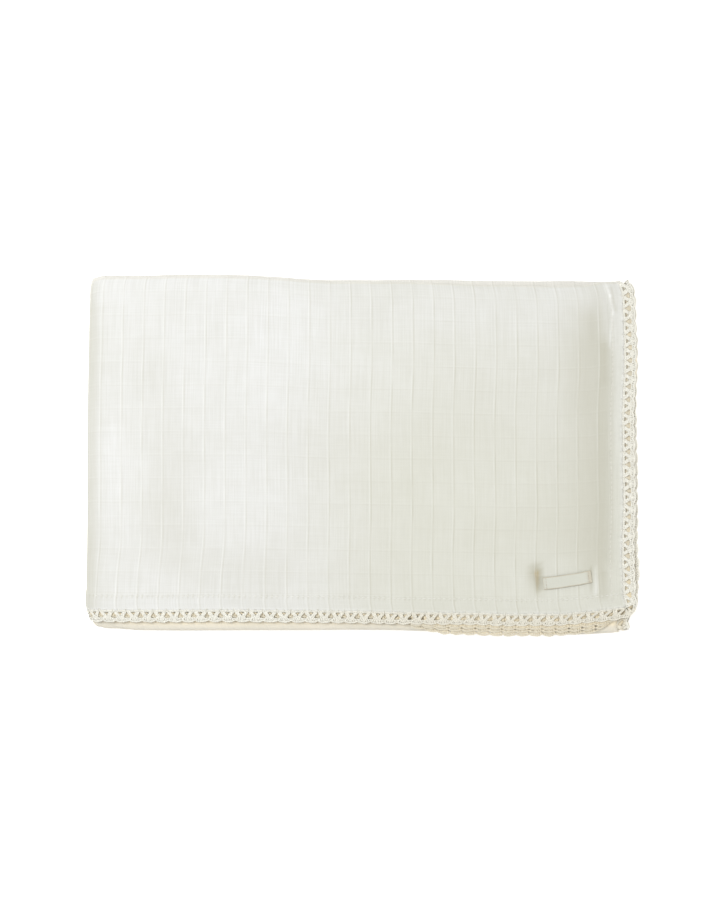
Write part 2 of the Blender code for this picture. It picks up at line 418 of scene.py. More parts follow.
    def fold(self, p: Points, q: Points, lift: Points, lowest: float | None = None) -> Points:
        """Folds places on the flat cloth into the bundle.

        Args:
            p: Places across the flat cloth.
            q: Places along it.
            lift: Distances off the cloth's middle, towards its right side.
            lowest: Height that no point goes below, if it isn't the plan's own.

        Returns:
            An array of points, one row each, in metres.
        """
        p, q, lift = (np.asarray(values, dtype=float) for values in np.broadcast_arrays(p, q, lift))
        ply, ply_share, x, n, face_x, face_n = self.across(p)
        layer, layer_share, turn, y, z, out_y, out_z = self.along(q)
        x = x + lift * face_x
        n = n + lift * face_n
        y = y + n * out_y
        z = z + n * out_z
        layer_part = layer + turn / math.pi
        past_run = p - ply * (self.ply_run + self.ply_turn) - self.ply_run
        ply_part = ply + np.clip(past_run / self.ply_turn, 0.0, 1.0) * (ply < self.plies - 1)
        side_near = self.side_shift(ply, y, layer_part, q)
        side_far = self.side_shift(ply + 1, y, layer_part, q)
        end_near = self.end_shift(layer, x, ply_part, p)
        end_far = self.end_shift(layer + 1, x, ply_part, p)
        x = x + side_near + (side_far - side_near) * ply_share
        y = y + end_near + (end_far - end_near) * layer_share
        x = x + self.lean(x, y)
        floor = self.lowest if lowest is None else lowest
        return np.stack([x, y, np.maximum(self.settle(x, y, z), floor)], axis=-1)


@dataclass
class ClothRelief:
    """The small relief of the cloth's right side: corded threads, ripples and needle pulls."""

    cord_pitch_across: float = 11.5 * MM
    cord_pitch_along: float = 13.0 * MM
    first_cord_across: float = 14.4 * MM
    first_cord_along: float = 9.4 * MM
    cord_height: float = 0.075 * MM
    cord_half_width: float = 0.42 * MM
    side_hem: float = 8.6 * MM
    front_hem: float = 10.2 * MM
    ripple: float = 0.17 * MM

    def cord(self, place: Points, first: float, pitch: float) -> Points:
        """Ridge height of the cords that cross a line, at places along the line."""
        offset = np.abs((place - first + pitch / 2.0) % pitch - pitch / 2.0)
        return self.cord_height * np.clip(1.0 - offset / (2.0 * self.cord_half_width), 0.0, 1.0)

    def height(self, p: Points, q: Points) -> Points:
        """Height of the right side of the cloth over its plain surface, in metres."""
        ridges = np.maximum(
            self.cord(p, self.first_cord_across, self.cord_pitch_across),
            0.6 * self.cord(q, self.first_cord_along, self.cord_pitch_along),
        )
        near_front = np.exp(-((q - 6.0 * MM) / (7.5 * MM)) ** 2)
        near_side = np.exp(-((p - 4.5 * MM) / (6.0 * MM)) ** 2)
        pucker = near_front * waves(p + 0.15 * q, 71, (0.0093, 0.0061, 0.0137))
        pucker = pucker + near_side * waves(q + 0.1 * p, 72, (0.0107, 0.0068, 0.0151))
        return ridges + self.ripple * (0.6 + pucker)


@dataclass(frozen=True)
class Stations:
    """Rows or columns of the cloth's grid, in metres."""

    places: list[float] = field(default_factory=list)

    def add(self, *places: float) -> None:
        """Adds places."""
        self.places.extend(places)

    def evenly(self, start: float, end: float, step: float) -> None:
        """Adds places between start and end, about a step apart."""
        count = max(1, round((end - start) / step))
        self.add(*(start + (end - start) * number / count for number in range(1, count)))

    def cords(self, start: float, end: float, first: float, pitch: float, offsets: Sequence[float]) -> None:
        """Adds places round the cords between start and end.

        Args:
            start: Where to start.
            end: Where to stop.
            first: A cord's place; the others are a pitch apart.
            pitch: The cords' pitch.
            offsets: Places round each cord.
        """
        number = math.ceil((start - first) / pitch) - 1
        while first + number * pitch < end + pitch:
            around = (first + number * pitch + offset for offset in offsets)
            self.add(*(place for place in around if start + 0.35 * MM < place < end - 0.35 * MM))
            number += 1

    def around(self, place: float, *offsets: float) -> None:
        """Adds places round one place; the offsets are in millimetres."""
        self.add(*(place + offset * MM for offset in offsets))

    def tidy(self, end: float) -> Points:
        """Sorts the places up to the end, and drops those too close together."""
        ordered = sorted(place for place in self.places if 0.0 <= place < end - 0.1 * MM)
        kept = [ordered[0]]
        for place in ordered[1:]:
            if place - kept[-1] > 0.1 * MM:
                kept.append(place)
        return np.array(kept + [end])


@dataclass(frozen=True)
class Finish:
    """A cloth or yarn finish: its colours and how its threads catch the light."""

    name: str
    base: Color
    shade: Color
    deep: Color
    roughness: float
    sheen: float
    bump: float

    def new_material(self) -> tuple[bpy.types.Material, bpy.types.Node]:
        """An empty material with this finish's plain numbers on its shader."""
        material = bpy.data.materials.new(self.name)
        material.use_nodes = True
        shader = material.node_tree.nodes["Principled BSDF"]
        shader.inputs["Roughness"].default_value = self.roughness
        shader.inputs["Sheen Weight"].default_value = self.sheen
        shader.inputs["Sheen Roughness"].default_value = 0.45
        shader.inputs["Specular IOR Level"].default_value = 0.25
        return material, shader

    def toned(self, sketch: "NodeSketch") -> Socket:
        """The colour with painted shade: the shade colour where a place is shut in, and the deep colour where
        it is most shut in.

        Args:
            sketch: The material's tree.

        Returns:
            The colour's socket.
        """
        tone = sketch.attribute("tone")
        shaded = sketch.mix(sketch.clamped(tone), self.base, self.shade)
        deep = sketch.math("SUBTRACT", tone, 1.0, clamp=True)
        return sketch.mix(deep, shaded, self.deep)


class NodeSketch:
    """Adds and links nodes of a tree in few words."""

    def __init__(self, tree: bpy.types.NodeTree) -> None:
        """Keeps the tree that nodes are added to."""
        self.tree = tree

    def add(self, kind: str, **settings: object) -> bpy.types.Node:
        """A new node with its settings.

        Args:
            kind: The node's type name.
            settings: Values of its properties.

        Returns:
            The node.
        """
        node = self.tree.nodes.new(kind)
        for name, value in settings.items():
            setattr(node, name, value)
        return node

    def attribute(self, name: str) -> Socket:
        """A number written on the mesh's points."""
        return self.add("ShaderNodeAttribute", attribute_name=name, attribute_type="GEOMETRY").outputs["Fac"]

    def flat_place(self, uv_map: str) -> tuple[Socket, ...]:
        """A UV map's own socket and its two parts."""
        uv = self.add("ShaderNodeUVMap", uv_map=uv_map).outputs["UV"]
        parts = self.add("ShaderNodeSeparateXYZ")
        self.feed(parts.inputs[0], uv)
        return uv, parts.outputs[0], parts.outputs[1]

    def feed(self, socket: Socket, value: object) -> None:
        """Links a socket, or sets its value."""
        if isinstance(value, Socket):
            self.tree.links.new(value, socket)
        elif value is not None:
            socket.default_value = value

    def math(self, operation: str, *values: object, clamp: bool = False) -> Socket:
        """A Math node's result.

        Args:
            operation: The node's operation.
            values: Its inputs, as sockets or numbers.
            clamp: Whether the result is kept between 0 and 1.

        Returns:
            The output socket.
        """
        node = self.add("ShaderNodeMath", operation=operation, use_clamp=clamp)
        for socket, value in zip(node.inputs, values):
            self.feed(socket, value)
        return node.outputs[0]

    def clamped(self, value: object) -> Socket:
        """A value kept between 0 and 1."""
        return self.math("MULTIPLY", value, 1.0, clamp=True)

    def mix(self, factor: object, first: object, second: object) -> Socket:
        """A colour mix of two colours.

        Args:
            factor: How much of the second, as a socket or a number.
            first: A colour or a socket.
            second: A colour or a socket.

        Returns:
            The output socket.
        """
        node = self.add("ShaderNodeMix", data_type="RGBA")
        colors = [(*value, 1.0) if isinstance(value, tuple) else value for value in (first, second)]
        self.feed(node.inputs["Factor"], factor)
        self.feed(node.inputs[6], colors[0])
        self.feed(node.inputs[7], colors[1])
        return node.outputs[2]

    def bump(self, height: object, strength: float, distance: float) -> Socket:
        """A Bump node's normal for a height in metres-like units."""
        node = self.add("ShaderNodeBump")
        node.inputs["Strength"].default_value = strength
        node.inputs["Distance"].default_value = distance
        self.feed(node.inputs["Height"], height)
        return node.outputs["Normal"]


class SharedEffects:
    """Shader node groups that more than one material uses."""

    WEAVE_INPUTS = (("Across", 0.0), ("Along", 0.0), ("Thread", 0.0005))
    YARN_INPUTS = (("Round", 0.0), ("Length", 0.0), ("Lay", 0.0012))

    def __init__(self) -> None:
        """Builds the groups once."""
        self.slub = self.build_slub()
        self.plain_weave = self.build_plain_weave()
        self.twist = self.build_twist()

    @staticmethod
    def new_group(name: str, inputs: Sequence[tuple[str, float]], output: str) -> bpy.types.NodeTree:
        """An empty group with one output.

        Args:
            name: The group's name.
            inputs: Names and default values of its inputs.
            output: Name of its output.

        Returns:
            The group, without nodes.
        """
        group = bpy.data.node_groups.new(name, "ShaderNodeTree")
        for label, value in inputs:
            socket = group.interface.new_socket(name=label, in_out="INPUT", socket_type="NodeSocketFloat")
            socket.default_value = value
        group.interface.new_socket(name=output, in_out="OUTPUT", socket_type="NodeSocketFloat")
        return group

    def build_slub(self) -> bpy.types.NodeTree:
        """Thick and thin stretches of the threads, in streaks both ways across the cloth."""
        group = self.new_group("Thread slub", self.WEAVE_INPUTS, "Streaks")
        sketch = NodeSketch(group)
        source = sketch.add("NodeGroupInput")
        sink = sketch.add("NodeGroupOutput")
        streaks = []
        for near, far, stretch in (("Across", "Along", 38.0), ("Along", "Across", 30.0)):
            narrow = sketch.math("DIVIDE", source.outputs[near], source.outputs["Thread"])
            reach = sketch.math("MULTIPLY", source.outputs["Thread"], stretch)
            wide = sketch.math("DIVIDE", source.outputs[far], reach)
            place = sketch.add("ShaderNodeCombineXYZ")
            sketch.feed(place.inputs[0], narrow)
            sketch.feed(place.inputs[1], wide)
            noise = sketch.add("ShaderNodeTexNoise", noise_dimensions="2D")
            noise.inputs["Scale"].default_value = 0.55
            noise.inputs["Detail"].default_value = 2.0
            noise.inputs["Roughness"].default_value = 0.6
            sketch.feed(noise.inputs["Vector"], place.outputs[0])
            streaks.append(noise.outputs["Fac"])
        total = sketch.math("MULTIPLY_ADD", streaks[1], 0.32, sketch.math("MULTIPLY", streaks[0], 0.68))
        sketch.feed(sink.inputs["Streaks"], total)
        return group

    def build_plain_weave(self) -> bpy.types.NodeTree:
        """Threads that go over and under each other, one by one."""
        group = self.new_group("Plain weave", self.WEAVE_INPUTS, "Height")
        sketch = NodeSketch(group)
        source = sketch.add("NodeGroupInput")
        sink = sketch.add("NodeGroupOutput")
        thread = source.outputs["Thread"]
        threads = [sketch.math("DIVIDE", source.outputs[name], thread) for name in ("Across", "Along")]
        angles = [sketch.math("MULTIPLY", count, math.pi) for count in threads]
        crests = [sketch.math("ABSOLUTE", sketch.math("SINE", angle)) for angle in angles]
        swings = [sketch.math("COSINE", sketch.math("MULTIPLY", angle, 0.5)) for angle in angles]
        over = sketch.math("GREATER_THAN", sketch.math("MULTIPLY", *swings), 0.0)
        under = sketch.math("SUBTRACT", 1.0, over)
        tops = [sketch.math("MULTIPLY", cord_highlight, share) for cord_highlight, share in zip(crests, (over, under))]
        sketch.feed(sink.inputs["Height"], sketch.math("ADD", *tops))
        return group

    def build_twist(self) -> bpy.types.NodeTree:
        """Slanting plies of a twisted yarn, from its own length and girth coordinates."""
        group = self.new_group("Yarn twist", self.YARN_INPUTS, "Height")
        sketch = NodeSketch(group)
        source = sketch.add("NodeGroupInput")
        sink = sketch.add("NodeGroupOutput")
        turns = sketch.math("DIVIDE", source.outputs["Length"], source.outputs["Lay"])
        phase = sketch.math("ADD", turns, sketch.math("MULTIPLY", source.outputs["Round"], 2.0))
        wave = sketch.math("SINE", sketch.math("MULTIPLY", phase, 2.0 * math.pi))
        sketch.feed(sink.inputs["Height"], sketch.math("MULTIPLY_ADD", wave, 0.5, 0.5))
        return group

    @staticmethod
    def place(sketch: NodeSketch, group: bpy.types.NodeTree, **values: object) -> bpy.types.Node:
        """Puts a group in a material and feeds its inputs.

        Args:
            sketch: The material's tree.
            group: The group.
            values: Its inputs by name, with _ for a space.

        Returns:
            The group node.
        """
        node = sketch.add("ShaderNodeGroup", node_tree=group)
        for name, value in values.items():
            sketch.feed(node.inputs[name.replace("_", " ")], value)
        return node


@dataclass(frozen=True)
class MuslinFinish(Finish):
    """Fine cotton muslin with a window-pane of corded threads, with painted shade, creamier, where it is shut
    in, and a painted highlight and shadow along its cords.
    """

    # Painted highlight colour: on the cords' tops, on the hem's brighter rise and along the cloth's free
    # edges.
    highlight_color: Color = (0.83, 0.83, 0.81)
    gap_color: Color = (0.585, 0.583, 0.55)
    mottle_and_shade_color: Color = (0.483, 0.471, 0.39)
    falloff_shade_color: Color = (0.55, 0.547, 0.43)
    pocket_shadow_color: Color = (0.42, 0.335, 0.18)
    thread: float = 0.42 * MM
    streak_share: float = 0.37
    pucker_shade_share: float = 0.42
    side_shadow_share: float = 0.28
    cord_highlight_share: float = 0.36
    stitch_pitch: float = 2.8 * MM
    pull_reach: float = 1.9 * MM
    turned_edge: float = 0.55 * MM

    @staticmethod
    def line_mask(sketch: NodeSketch, place: Socket, first: float, pitch: float, half: float) -> Socket:
        """A soft mask of lines a pitch apart.

        Args:
            sketch: The material's tree.
            place: Socket of the place across the lines, in metres.
            first: A line's place.
            pitch: The lines' pitch.
            half: The lines' half width.

        Returns:
            Socket of the mask.
        """
        moved = sketch.math("DIVIDE", sketch.math("SUBTRACT", place, first - pitch / 2.0), pitch)
        offset = sketch.math("ABSOLUTE", sketch.math("SUBTRACT", sketch.math("FRACT", moved), 0.5))
        return sketch.math("SUBTRACT", 1.0, sketch.math("DIVIDE", offset, half / pitch), clamp=True)

    @staticmethod
    def patchy(sketch: NodeSketch, place: Socket, scale: float, low: float, high: float) -> Socket:
        """A slow uneven factor over the cloth.

        Args:
            sketch: The material's tree.
            place: Socket of the flat cloth coordinates.
            scale: Patches in a metre, about.
            low: The factor's least value.
            high: Its greatest value.

        Returns:
            Socket of the factor.
        """
        noise = sketch.add("ShaderNodeTexNoise", noise_dimensions="2D")
        noise.inputs["Scale"].default_value = scale
        noise.inputs["Detail"].default_value = 1.0
        sketch.feed(noise.inputs["Vector"], place)
        spread = sketch.add("ShaderNodeMapRange")
        for name, value in (("From Min", 0.3), ("From Max", 0.7), ("To Min", low), ("To Max", high)):
            spread.inputs[name].default_value = value
        sketch.feed(spread.inputs["Value"], noise.outputs["Fac"])
        return spread.outputs["Result"]

    def cords(self, sketch: NodeSketch, uv: Socket, p: Socket, q: Socket,
              relief: ClothRelief) -> tuple[Socket, Socket]:
        """Masks of the cords, and of the painted shadow beside them.

        Args:
            sketch: The material's tree.
            uv: Socket of the flat cloth coordinates.
            p: Its part across.
            q: Its part along.
            relief: Where the cords run.

        Returns:
            Sockets of the two masks.
        """
        half = relief.cord_half_width
        uneven = self.patchy(sketch, uv, 55.0, 0.45, 1.15)
        crests, cord_shadows = [], []
        for where, first, pitch, share in (
            (p, relief.first_cord_across, relief.cord_pitch_across, 1.0),
            (q, relief.first_cord_along, relief.cord_pitch_along, 0.27),
        ):
            factor = sketch.math("MULTIPLY", uneven, share)
            for masks, start in ((crests, first), (cord_shadows, first - 2.2 * half)):
                line = self.line_mask(sketch, where, start, pitch, 1.3 * half)
                masks.append(sketch.math("MULTIPLY", line, factor))
        inside = sketch.math("SUBTRACT", p, relief.side_hem)
        inside = sketch.math("DIVIDE", inside, 2.0 * MM, clamp=True)
        cord, cord_shadow = (
            sketch.math("MULTIPLY", sketch.math("MAXIMUM", *masks), inside) for masks in (crests, cord_shadows)
        )
        return cord, cord_shadow

    def pucker_shade(self, sketch: NodeSketch, uv: Socket, p: Socket, q: Socket) -> Socket:
        """Painted shade at the small pulls of the cloth by the needle holes along the two hems, and along the
        hems' turned edges.

        Args:
            sketch: The material's tree.
            uv: Socket of the flat cloth coordinates.
            p: Its part across.
            q: Its part along.

        Returns:
            Socket of the mask.
        """
        uneven = self.patchy(sketch, uv, 130.0, 0.2, 1.0)
        pulls = []
        for run, from_edge, line, share in ((p, q, 8.2 * MM, 1.4), (q, p, 6.9 * MM, 0.6)):
            near = sketch.math("ABSOLUTE", sketch.math("SUBTRACT", from_edge, line))
            near = sketch.math("SUBTRACT", 1.0, sketch.math("DIVIDE", near, self.pull_reach), clamp=True)
            wave = sketch.math("SINE", sketch.math("MULTIPLY", run, 2.0 * math.pi / self.stitch_pitch))
            wave = sketch.math("POWER", sketch.math("MULTIPLY_ADD", wave, 0.5, 0.5), 2.5)
            pull = sketch.math("MULTIPLY", near, wave)
            pull = sketch.math("MULTIPLY", pull, sketch.math("MULTIPLY", uneven, share))
            turned = sketch.math("ABSOLUTE", sketch.math("SUBTRACT", from_edge, line + self.pull_reach))
            turned = sketch.math("SUBTRACT", 1.0, sketch.math("DIVIDE", turned, self.turned_edge), clamp=True)
            pulls.append(sketch.math("MAXIMUM", pull, sketch.math("MULTIPLY", turned, 0.35)))
        return sketch.math("MAXIMUM", *pulls)

    def build(self, effects: SharedEffects, relief: ClothRelief) -> bpy.types.Material:
        """Builds the material.

        Args:
            effects: The shared shader groups.
            relief: Where the cords run.

        Returns:
            The material.
        """
        material, shader = self.new_material()
        sketch = NodeSketch(material.node_tree)
        uv, p, q = sketch.flat_place("cloth")
        cord, cord_shadow = self.cords(sketch, uv, p, q, relief)
        slub = SharedEffects.place(sketch, effects.slub, Across=p, Along=q, Thread=self.thread)
        weave = SharedEffects.place(sketch, effects.plain_weave, Across=p, Along=q, Thread=self.thread)
        # The thin mask is painted shade, a deeper painted shadow above 1, and a painted highlight where
        # negative.
        falloff_shade, thin = sketch.attribute("falloff_shade"), sketch.attribute("thin")
        shut_in = sketch.math("MULTIPLY", sketch.attribute("tone"), 0.8)
        in_view = sketch.math("SUBTRACT", 1.0, shut_in, clamp=True)
        streak = sketch.math("MULTIPLY_ADD", slub.outputs["Streaks"], 3.6, -1.3, clamp=True)
        pulls = self.pucker_shade(sketch, uv, p, q)
        # Painted shadow beside each cord and painted highlight along its top; the shadow grows and the
        # highlight fades towards the right.
        side_shadow = sketch.math("MULTIPLY", cord_shadow, sketch.math("MULTIPLY_ADD", falloff_shade, 0.6, self.side_shadow_share))
        cord_highlight = sketch.math("MULTIPLY", cord, sketch.math("MULTIPLY_ADD", falloff_shade, -0.35, self.cord_highlight_share))
        color = self.toned(sketch)
        for share, tint in (
            (sketch.math("MULTIPLY", streak, self.streak_share), self.gap_color),
            (self.patchy(sketch, uv, 17.0, 0.0, 0.13), self.mottle_and_shade_color),
            (self.patchy(sketch, uv, 90.0, 0.0, 0.075), self.mottle_and_shade_color),
            # Painted shade, creamier, falling off towards the right.
            (falloff_shade, self.falloff_shade_color),
            # Painted shade from the thin mask, a painted shadow in the label's pocket above 1, and a painted
            # highlight below 0.
            (sketch.clamped(thin), self.mottle_and_shade_color),
            (sketch.math("SUBTRACT", thin, 1.0, clamp=True), self.pocket_shadow_color),
            (sketch.math("MULTIPLY", thin, -1.0, clamp=True), self.highlight_color),
            # Painted shade at the needle pulls and the hems' turned edges.
            (sketch.math("MULTIPLY", pulls, self.pucker_shade_share), self.mottle_and_shade_color),
            # Painted shadow beside the cords, and painted highlight along their tops.
            (sketch.math("MULTIPLY", side_shadow, in_view), self.mottle_and_shade_color),
            (sketch.math("MULTIPLY", cord_highlight, in_view), self.highlight_color),
        ):
            color = sketch.mix(share, color, tint)
        sketch.feed(shader.inputs["Base Color"], color)
        height = sketch.math("MULTIPLY_ADD", slub.outputs["Streaks"], 0.9, weave.outputs["Height"])
        height = sketch.math("ADD", cord, height)
        sketch.feed(shader.inputs["Normal"], sketch.bump(height, self.bump, 0.10 * MM))
        return material


@dataclass(frozen=True)
class YarnFinish(Finish):
    """Matte twisted cotton yarn, with painted shade down between its strands."""

    lay: float = 1.3 * MM

    def build(self, effects: SharedEffects) -> bpy.types.Material:
        """Builds the material.

        Args:
            effects: The shared shader groups.

        Returns:
            The material.
        """
        material, shader = self.new_material()
        sketch = NodeSketch(material.node_tree)
        _, round_yarn, length = sketch.flat_place("yarn")
        twist = SharedEffects.place(sketch, effects.twist, Round=round_yarn, Length=length, Lay=self.lay)
        color = self.toned(sketch)
        # Painted shade in the grooves between the strands.
        darker = sketch.math("MULTIPLY_ADD", twist.outputs["Height"], -0.4, 0.4)
        color = sketch.mix(darker, color, self.shade)
        sketch.feed(shader.inputs["Base Color"], color)
        sketch.feed(shader.inputs["Normal"], sketch.bump(twist.outputs["Height"], self.bump, 0.12 * MM))
        return material


@dataclass(frozen=True)
class TapeFinish(Finish):
    """Close-woven satin tape, with fine ribs across it, and painted shade along its edges and turned ends."""

    rib: float = 0.33 * MM

    def build(self, effects: SharedEffects) -> bpy.types.Material:
        """Builds the material.

        Args:
            effects: The shared shader groups.

        Returns:
            The material.
        """
        material, shader = self.new_material()
        sketch = NodeSketch(material.node_tree)
        _, p, q = sketch.flat_place("cloth")
        weave = SharedEffects.place(sketch, effects.plain_weave, Across=p, Along=q, Thread=self.rib)
        slub = SharedEffects.place(sketch, effects.slub, Across=p, Along=q, Thread=self.rib)
        color = sketch.mix(sketch.math("MULTIPLY", slub.outputs["Streaks"], 0.5), self.base, self.shade)
        # Painted shade along the tape's long edges and at its turned ends.
        color = sketch.mix(sketch.attribute("edge"), color, self.deep)
        sketch.feed(shader.inputs["Base Color"], color)
        height = sketch.math("ADD", weave.outputs["Height"], slub.outputs["Streaks"])
        sketch.feed(shader.inputs["Normal"], sketch.bump(height, self.bump, 0.08 * MM))
        return material


def mesh_object(name: str, points: Points, faces: Points | list[list[int]], uv: Points,
                uv_name: str) -> bpy.types.Object:
    """A mesh object at the origin, from arrays.

    Args:
        name: The object's name.
        points: Points, one row each.
        faces: Point numbers, one row or list for each face.
        uv: One UV for each point.
        uv_name: The UV map's name.

    Returns:
        The object, linked to the scene and shaded smooth.
    """
    mesh = bpy.data.meshes.new(name)
    mesh.from_pydata(points.tolist(), [], faces.tolist() if isinstance(faces, np.ndarray) else faces)
    layer = mesh.uv_layers.new(name=uv_name)
    corner_points = np.empty(len(mesh.loops), dtype=np.int64)
    mesh.loops.foreach_get("vertex_index", corner_points)
    layer.data.foreach_set("uv", uv[corner_points].astype(np.float32).ravel())
    mesh.shade_smooth()
    obj = bpy.data.objects.new(name, mesh)
    bpy.context.scene.collection.objects.link(obj)
    return obj


def set_mask(obj: bpy.types.Object, name: str, values: Points) -> None:
    """Writes a number for each point, for the materials."""
    attribute = obj.data.attributes.new(name, "FLOAT", "POINT")
    attribute.data.foreach_set("value", values.astype(np.float32))


def grid_faces(rows: int, columns: int) -> Points:
    """Quads of a grid whose points run row by row."""
    start = np.arange((rows - 1) * columns).reshape(rows - 1, columns)[:, :-1].ravel()
    return np.stack([start, start + 1, start + columns + 1, start + columns], axis=1)


@dataclass
class SwaddleCloth:
    """The folded muslin with its turned hems."""

    plan: FoldPlan
    relief: ClothRelief
    thickness: float = 0.34 * MM
    hem_thickness: float = 0.56 * MM
    side_fold_steps: int = 5
    end_fold_steps: int = 8
    fine_reach: float = 58.0 * MM
    edge_highlight: float = 0.55

    def columns(self) -> Points:
        """Stations across the flat cloth, fine on the top ply and near the side hem."""
        plan, relief = self.plan, self.relief
        cell = plan.ply_run + plan.ply_turn
        hem = relief.side_hem
        stations = Stations()
        stations.around(0.0, 0.0, 1.4, 3.0, 4.6, 6.2)
        stations.around(hem, -1.2, -0.4, 0.2)
        stations.evenly(hem + 0.2 * MM, 22.0 * MM, 1.3 * MM)
        stations.evenly(4.9 * MM, 10.3 * MM, 0.6 * MM)
        offsets = (-0.85 * MM, 0.0, 0.85 * MM, relief.cord_pitch_across / 2.0)
        stations.cords(22.0 * MM, plan.ply_run, relief.first_cord_across, relief.cord_pitch_across, offsets)
        for ply in range(plan.plies):
            start = ply * cell
            end = start + plan.ply_run
            stations.add(start, *(start + share * plan.ply_run for share in (0.008, 0.975, 0.988, 1.0)))
            if ply:
                side_first = ply % 2 == 0
                fine = (start, start + self.fine_reach) if side_first else (end - self.fine_reach, end)
                rest = (fine[1], end) if side_first else (start, fine[0])
                stations.evenly(*fine, 3.8 * MM)
                stations.evenly(*rest, 23.0 * MM)
            if ply < plan.plies - 1:
                stations.evenly(end, start + cell, plan.ply_turn / self.side_fold_steps)
        stations.around(plan.width - hem, 0.0, 0.6)
        return stations.tidy(plan.width)

    def rows(self) -> Points:
        """Stations along the flat cloth, fine on the top layer."""
        plan, relief = self.plan, self.relief
        hem = relief.front_hem
        stations = Stations()
        stations.around(0.0, 0.0, 1.4, 3.2, 5.2, 7.2)
        stations.around(hem, -1.0, -0.4, 0.2)
        pitch = relief.cord_pitch_along
        offsets = (-0.85 * MM, 0.0, 0.85 * MM, pitch * 0.36, pitch * 0.64)
        first_run = plan.layer_runs[0]
        stations.cords(hem + 0.8 * MM, first_run, relief.first_cord_along, pitch, offsets)
        stations.evenly(first_run - 34.0 * MM, first_run - 3.0 * MM, 1.9 * MM)
        for layer, start in enumerate(plan.layer_starts):
            run = plan.layer_runs[layer]
            end = start + run
            stations.add(start, *(start + share * run for share in (0.012, 0.03, 0.955, 0.972, 0.988, 1.0)))
            if layer:
                stations.evenly(start, end, 7.0 * MM if layer == plan.layers - 1 else 26.0 * MM)
            if layer < plan.layers - 1:
                stations.evenly(end, end + plan.layer_turn, plan.layer_turn / self.end_fold_steps)
        stations.around(plan.length - hem, 0.0, 0.6)
        return stations.tidy(plan.length)

    def hem_share(self, p: Points, q: Points) -> Points:
        """1 on the turned hems and 0 on single cloth."""
        plan = self.plan
        edge_p = np.minimum(p, plan.width - p)
        edge_q = np.minimum(q, plan.length - q)
        return ((edge_p < self.relief.side_hem) | (edge_q < self.relief.front_hem)).astype(float)

    def shade_levels(self, p: Points, q: Points) -> Points:
        """Painted shade: how shut in the cloth is, 0 on the top ply, 1 on the folds below it, 2 under the
        edging.
        """
        ply, _, x, *_ = self.plan.across(p)
        layer, _, turn, y, *_ = self.plan.along(q)
        moved = x + self.plan.side_shift(np.full_like(x, 2.0), y, layer + turn / math.pi, q)
        x = np.where(x > 100.0 * MM, moved, x)
        top = (layer == 0) & (turn < 0.6) & (ply == 0)
        under_edging = smooth_step((y + 96.5 * MM) / (4.0 * MM)) * smooth_step((-78.0 * MM - y) / (8.0 * MM))
        at_front = smooth_step((-60.0 * MM - y) / (20.0 * MM))
        at_side = smooth_step((x - 142.5 * MM) / (2.5 * MM)) * smooth_step((y + 86.0 * MM) / (4.0 * MM))
        return np.where(top, 0.0, 0.35 + 0.6 * at_front + 0.8 * under_edging + 1.1 * at_side)

    def shade(self, cloth: bpy.types.Object, points: Points, p: Points, q: Points) -> None:
        """Writes the masks that the muslin reads: painted shade for shut-in places, strokes of painted shade
        and highlight, and painted shade towards the right.

        Args:
            cloth: The cloth.
            points: Its folded points.
            p: Their places across the flat cloth.
            q: Their places along it.
        """
        x, y = points[:, 0], points[:, 1]
        on_top = (self.plan.across(p)[0] == 0) & (self.plan.along(q)[0] == 0)
        # Strokes of painted shade, and of painted highlight where negative, on the top ply.
        thin = sum(stroke.at(x, y) for stroke in self.plan.shade_strokes)
        # A painted highlight along the cloth's free side and front edges.
        thin = thin - self.edge_highlight * smooth_step((2.2 * MM - np.minimum(p, q)) / (2.0 * MM))
        set_mask(cloth, "tone", self.shade_levels(p, q))
        set_mask(cloth, "thin", np.where(on_top, thin, 0.0))
        # Painted shade falling off towards the right, on the top ply.
        set_mask(cloth, "falloff_shade", np.where(on_top, self.plan.right_falloff_shade(x, y), 0.0))

    def build(self, material: bpy.types.Material) -> bpy.types.Object:
        """Builds the folded cloth.

        Args:
            material: The muslin.

        Returns:
            The cloth.
        """
        columns, rows = self.columns(), self.rows()
        q, p = (grid.ravel() for grid in np.meshgrid(rows, columns, indexing="ij"))
        lift = np.where(self.plan.across(p)[0] == 0, self.relief.height(p, q), 0.0)
        points = self.plan.fold(p, q, lift)
        faces = grid_faces(len(rows), len(columns))[:, ::-1]
        cloth = mesh_object("swaddle_muslin", points, faces, np.stack([p, q], axis=1), "cloth")
        self.shade(cloth, points, p, q)
        hems = self.hem_share(p, q)
        group = cloth.vertex_groups.new(name="thickness")
        group.add(np.nonzero(hems == 0.0)[0].tolist(), self.thickness / self.hem_thickness, "REPLACE")
        group.add(np.nonzero(hems == 1.0)[0].tolist(), 1.0, "REPLACE")
        cloth.data.materials.append(material)
        solidify = cloth.modifiers.new("Thickness", "SOLIDIFY")
        solidify.thickness = self.hem_thickness
        solidify.offset = 0.0
        solidify.vertex_group = "thickness"
        return cloth


def log_piece(obj: bpy.types.Object) -> None:
    """Reports a finished piece."""
    triangles = sum(len(polygon.vertices) - 2 for polygon in obj.data.polygons)
    LOG.info("%s: %d triangles", obj.name, triangles)


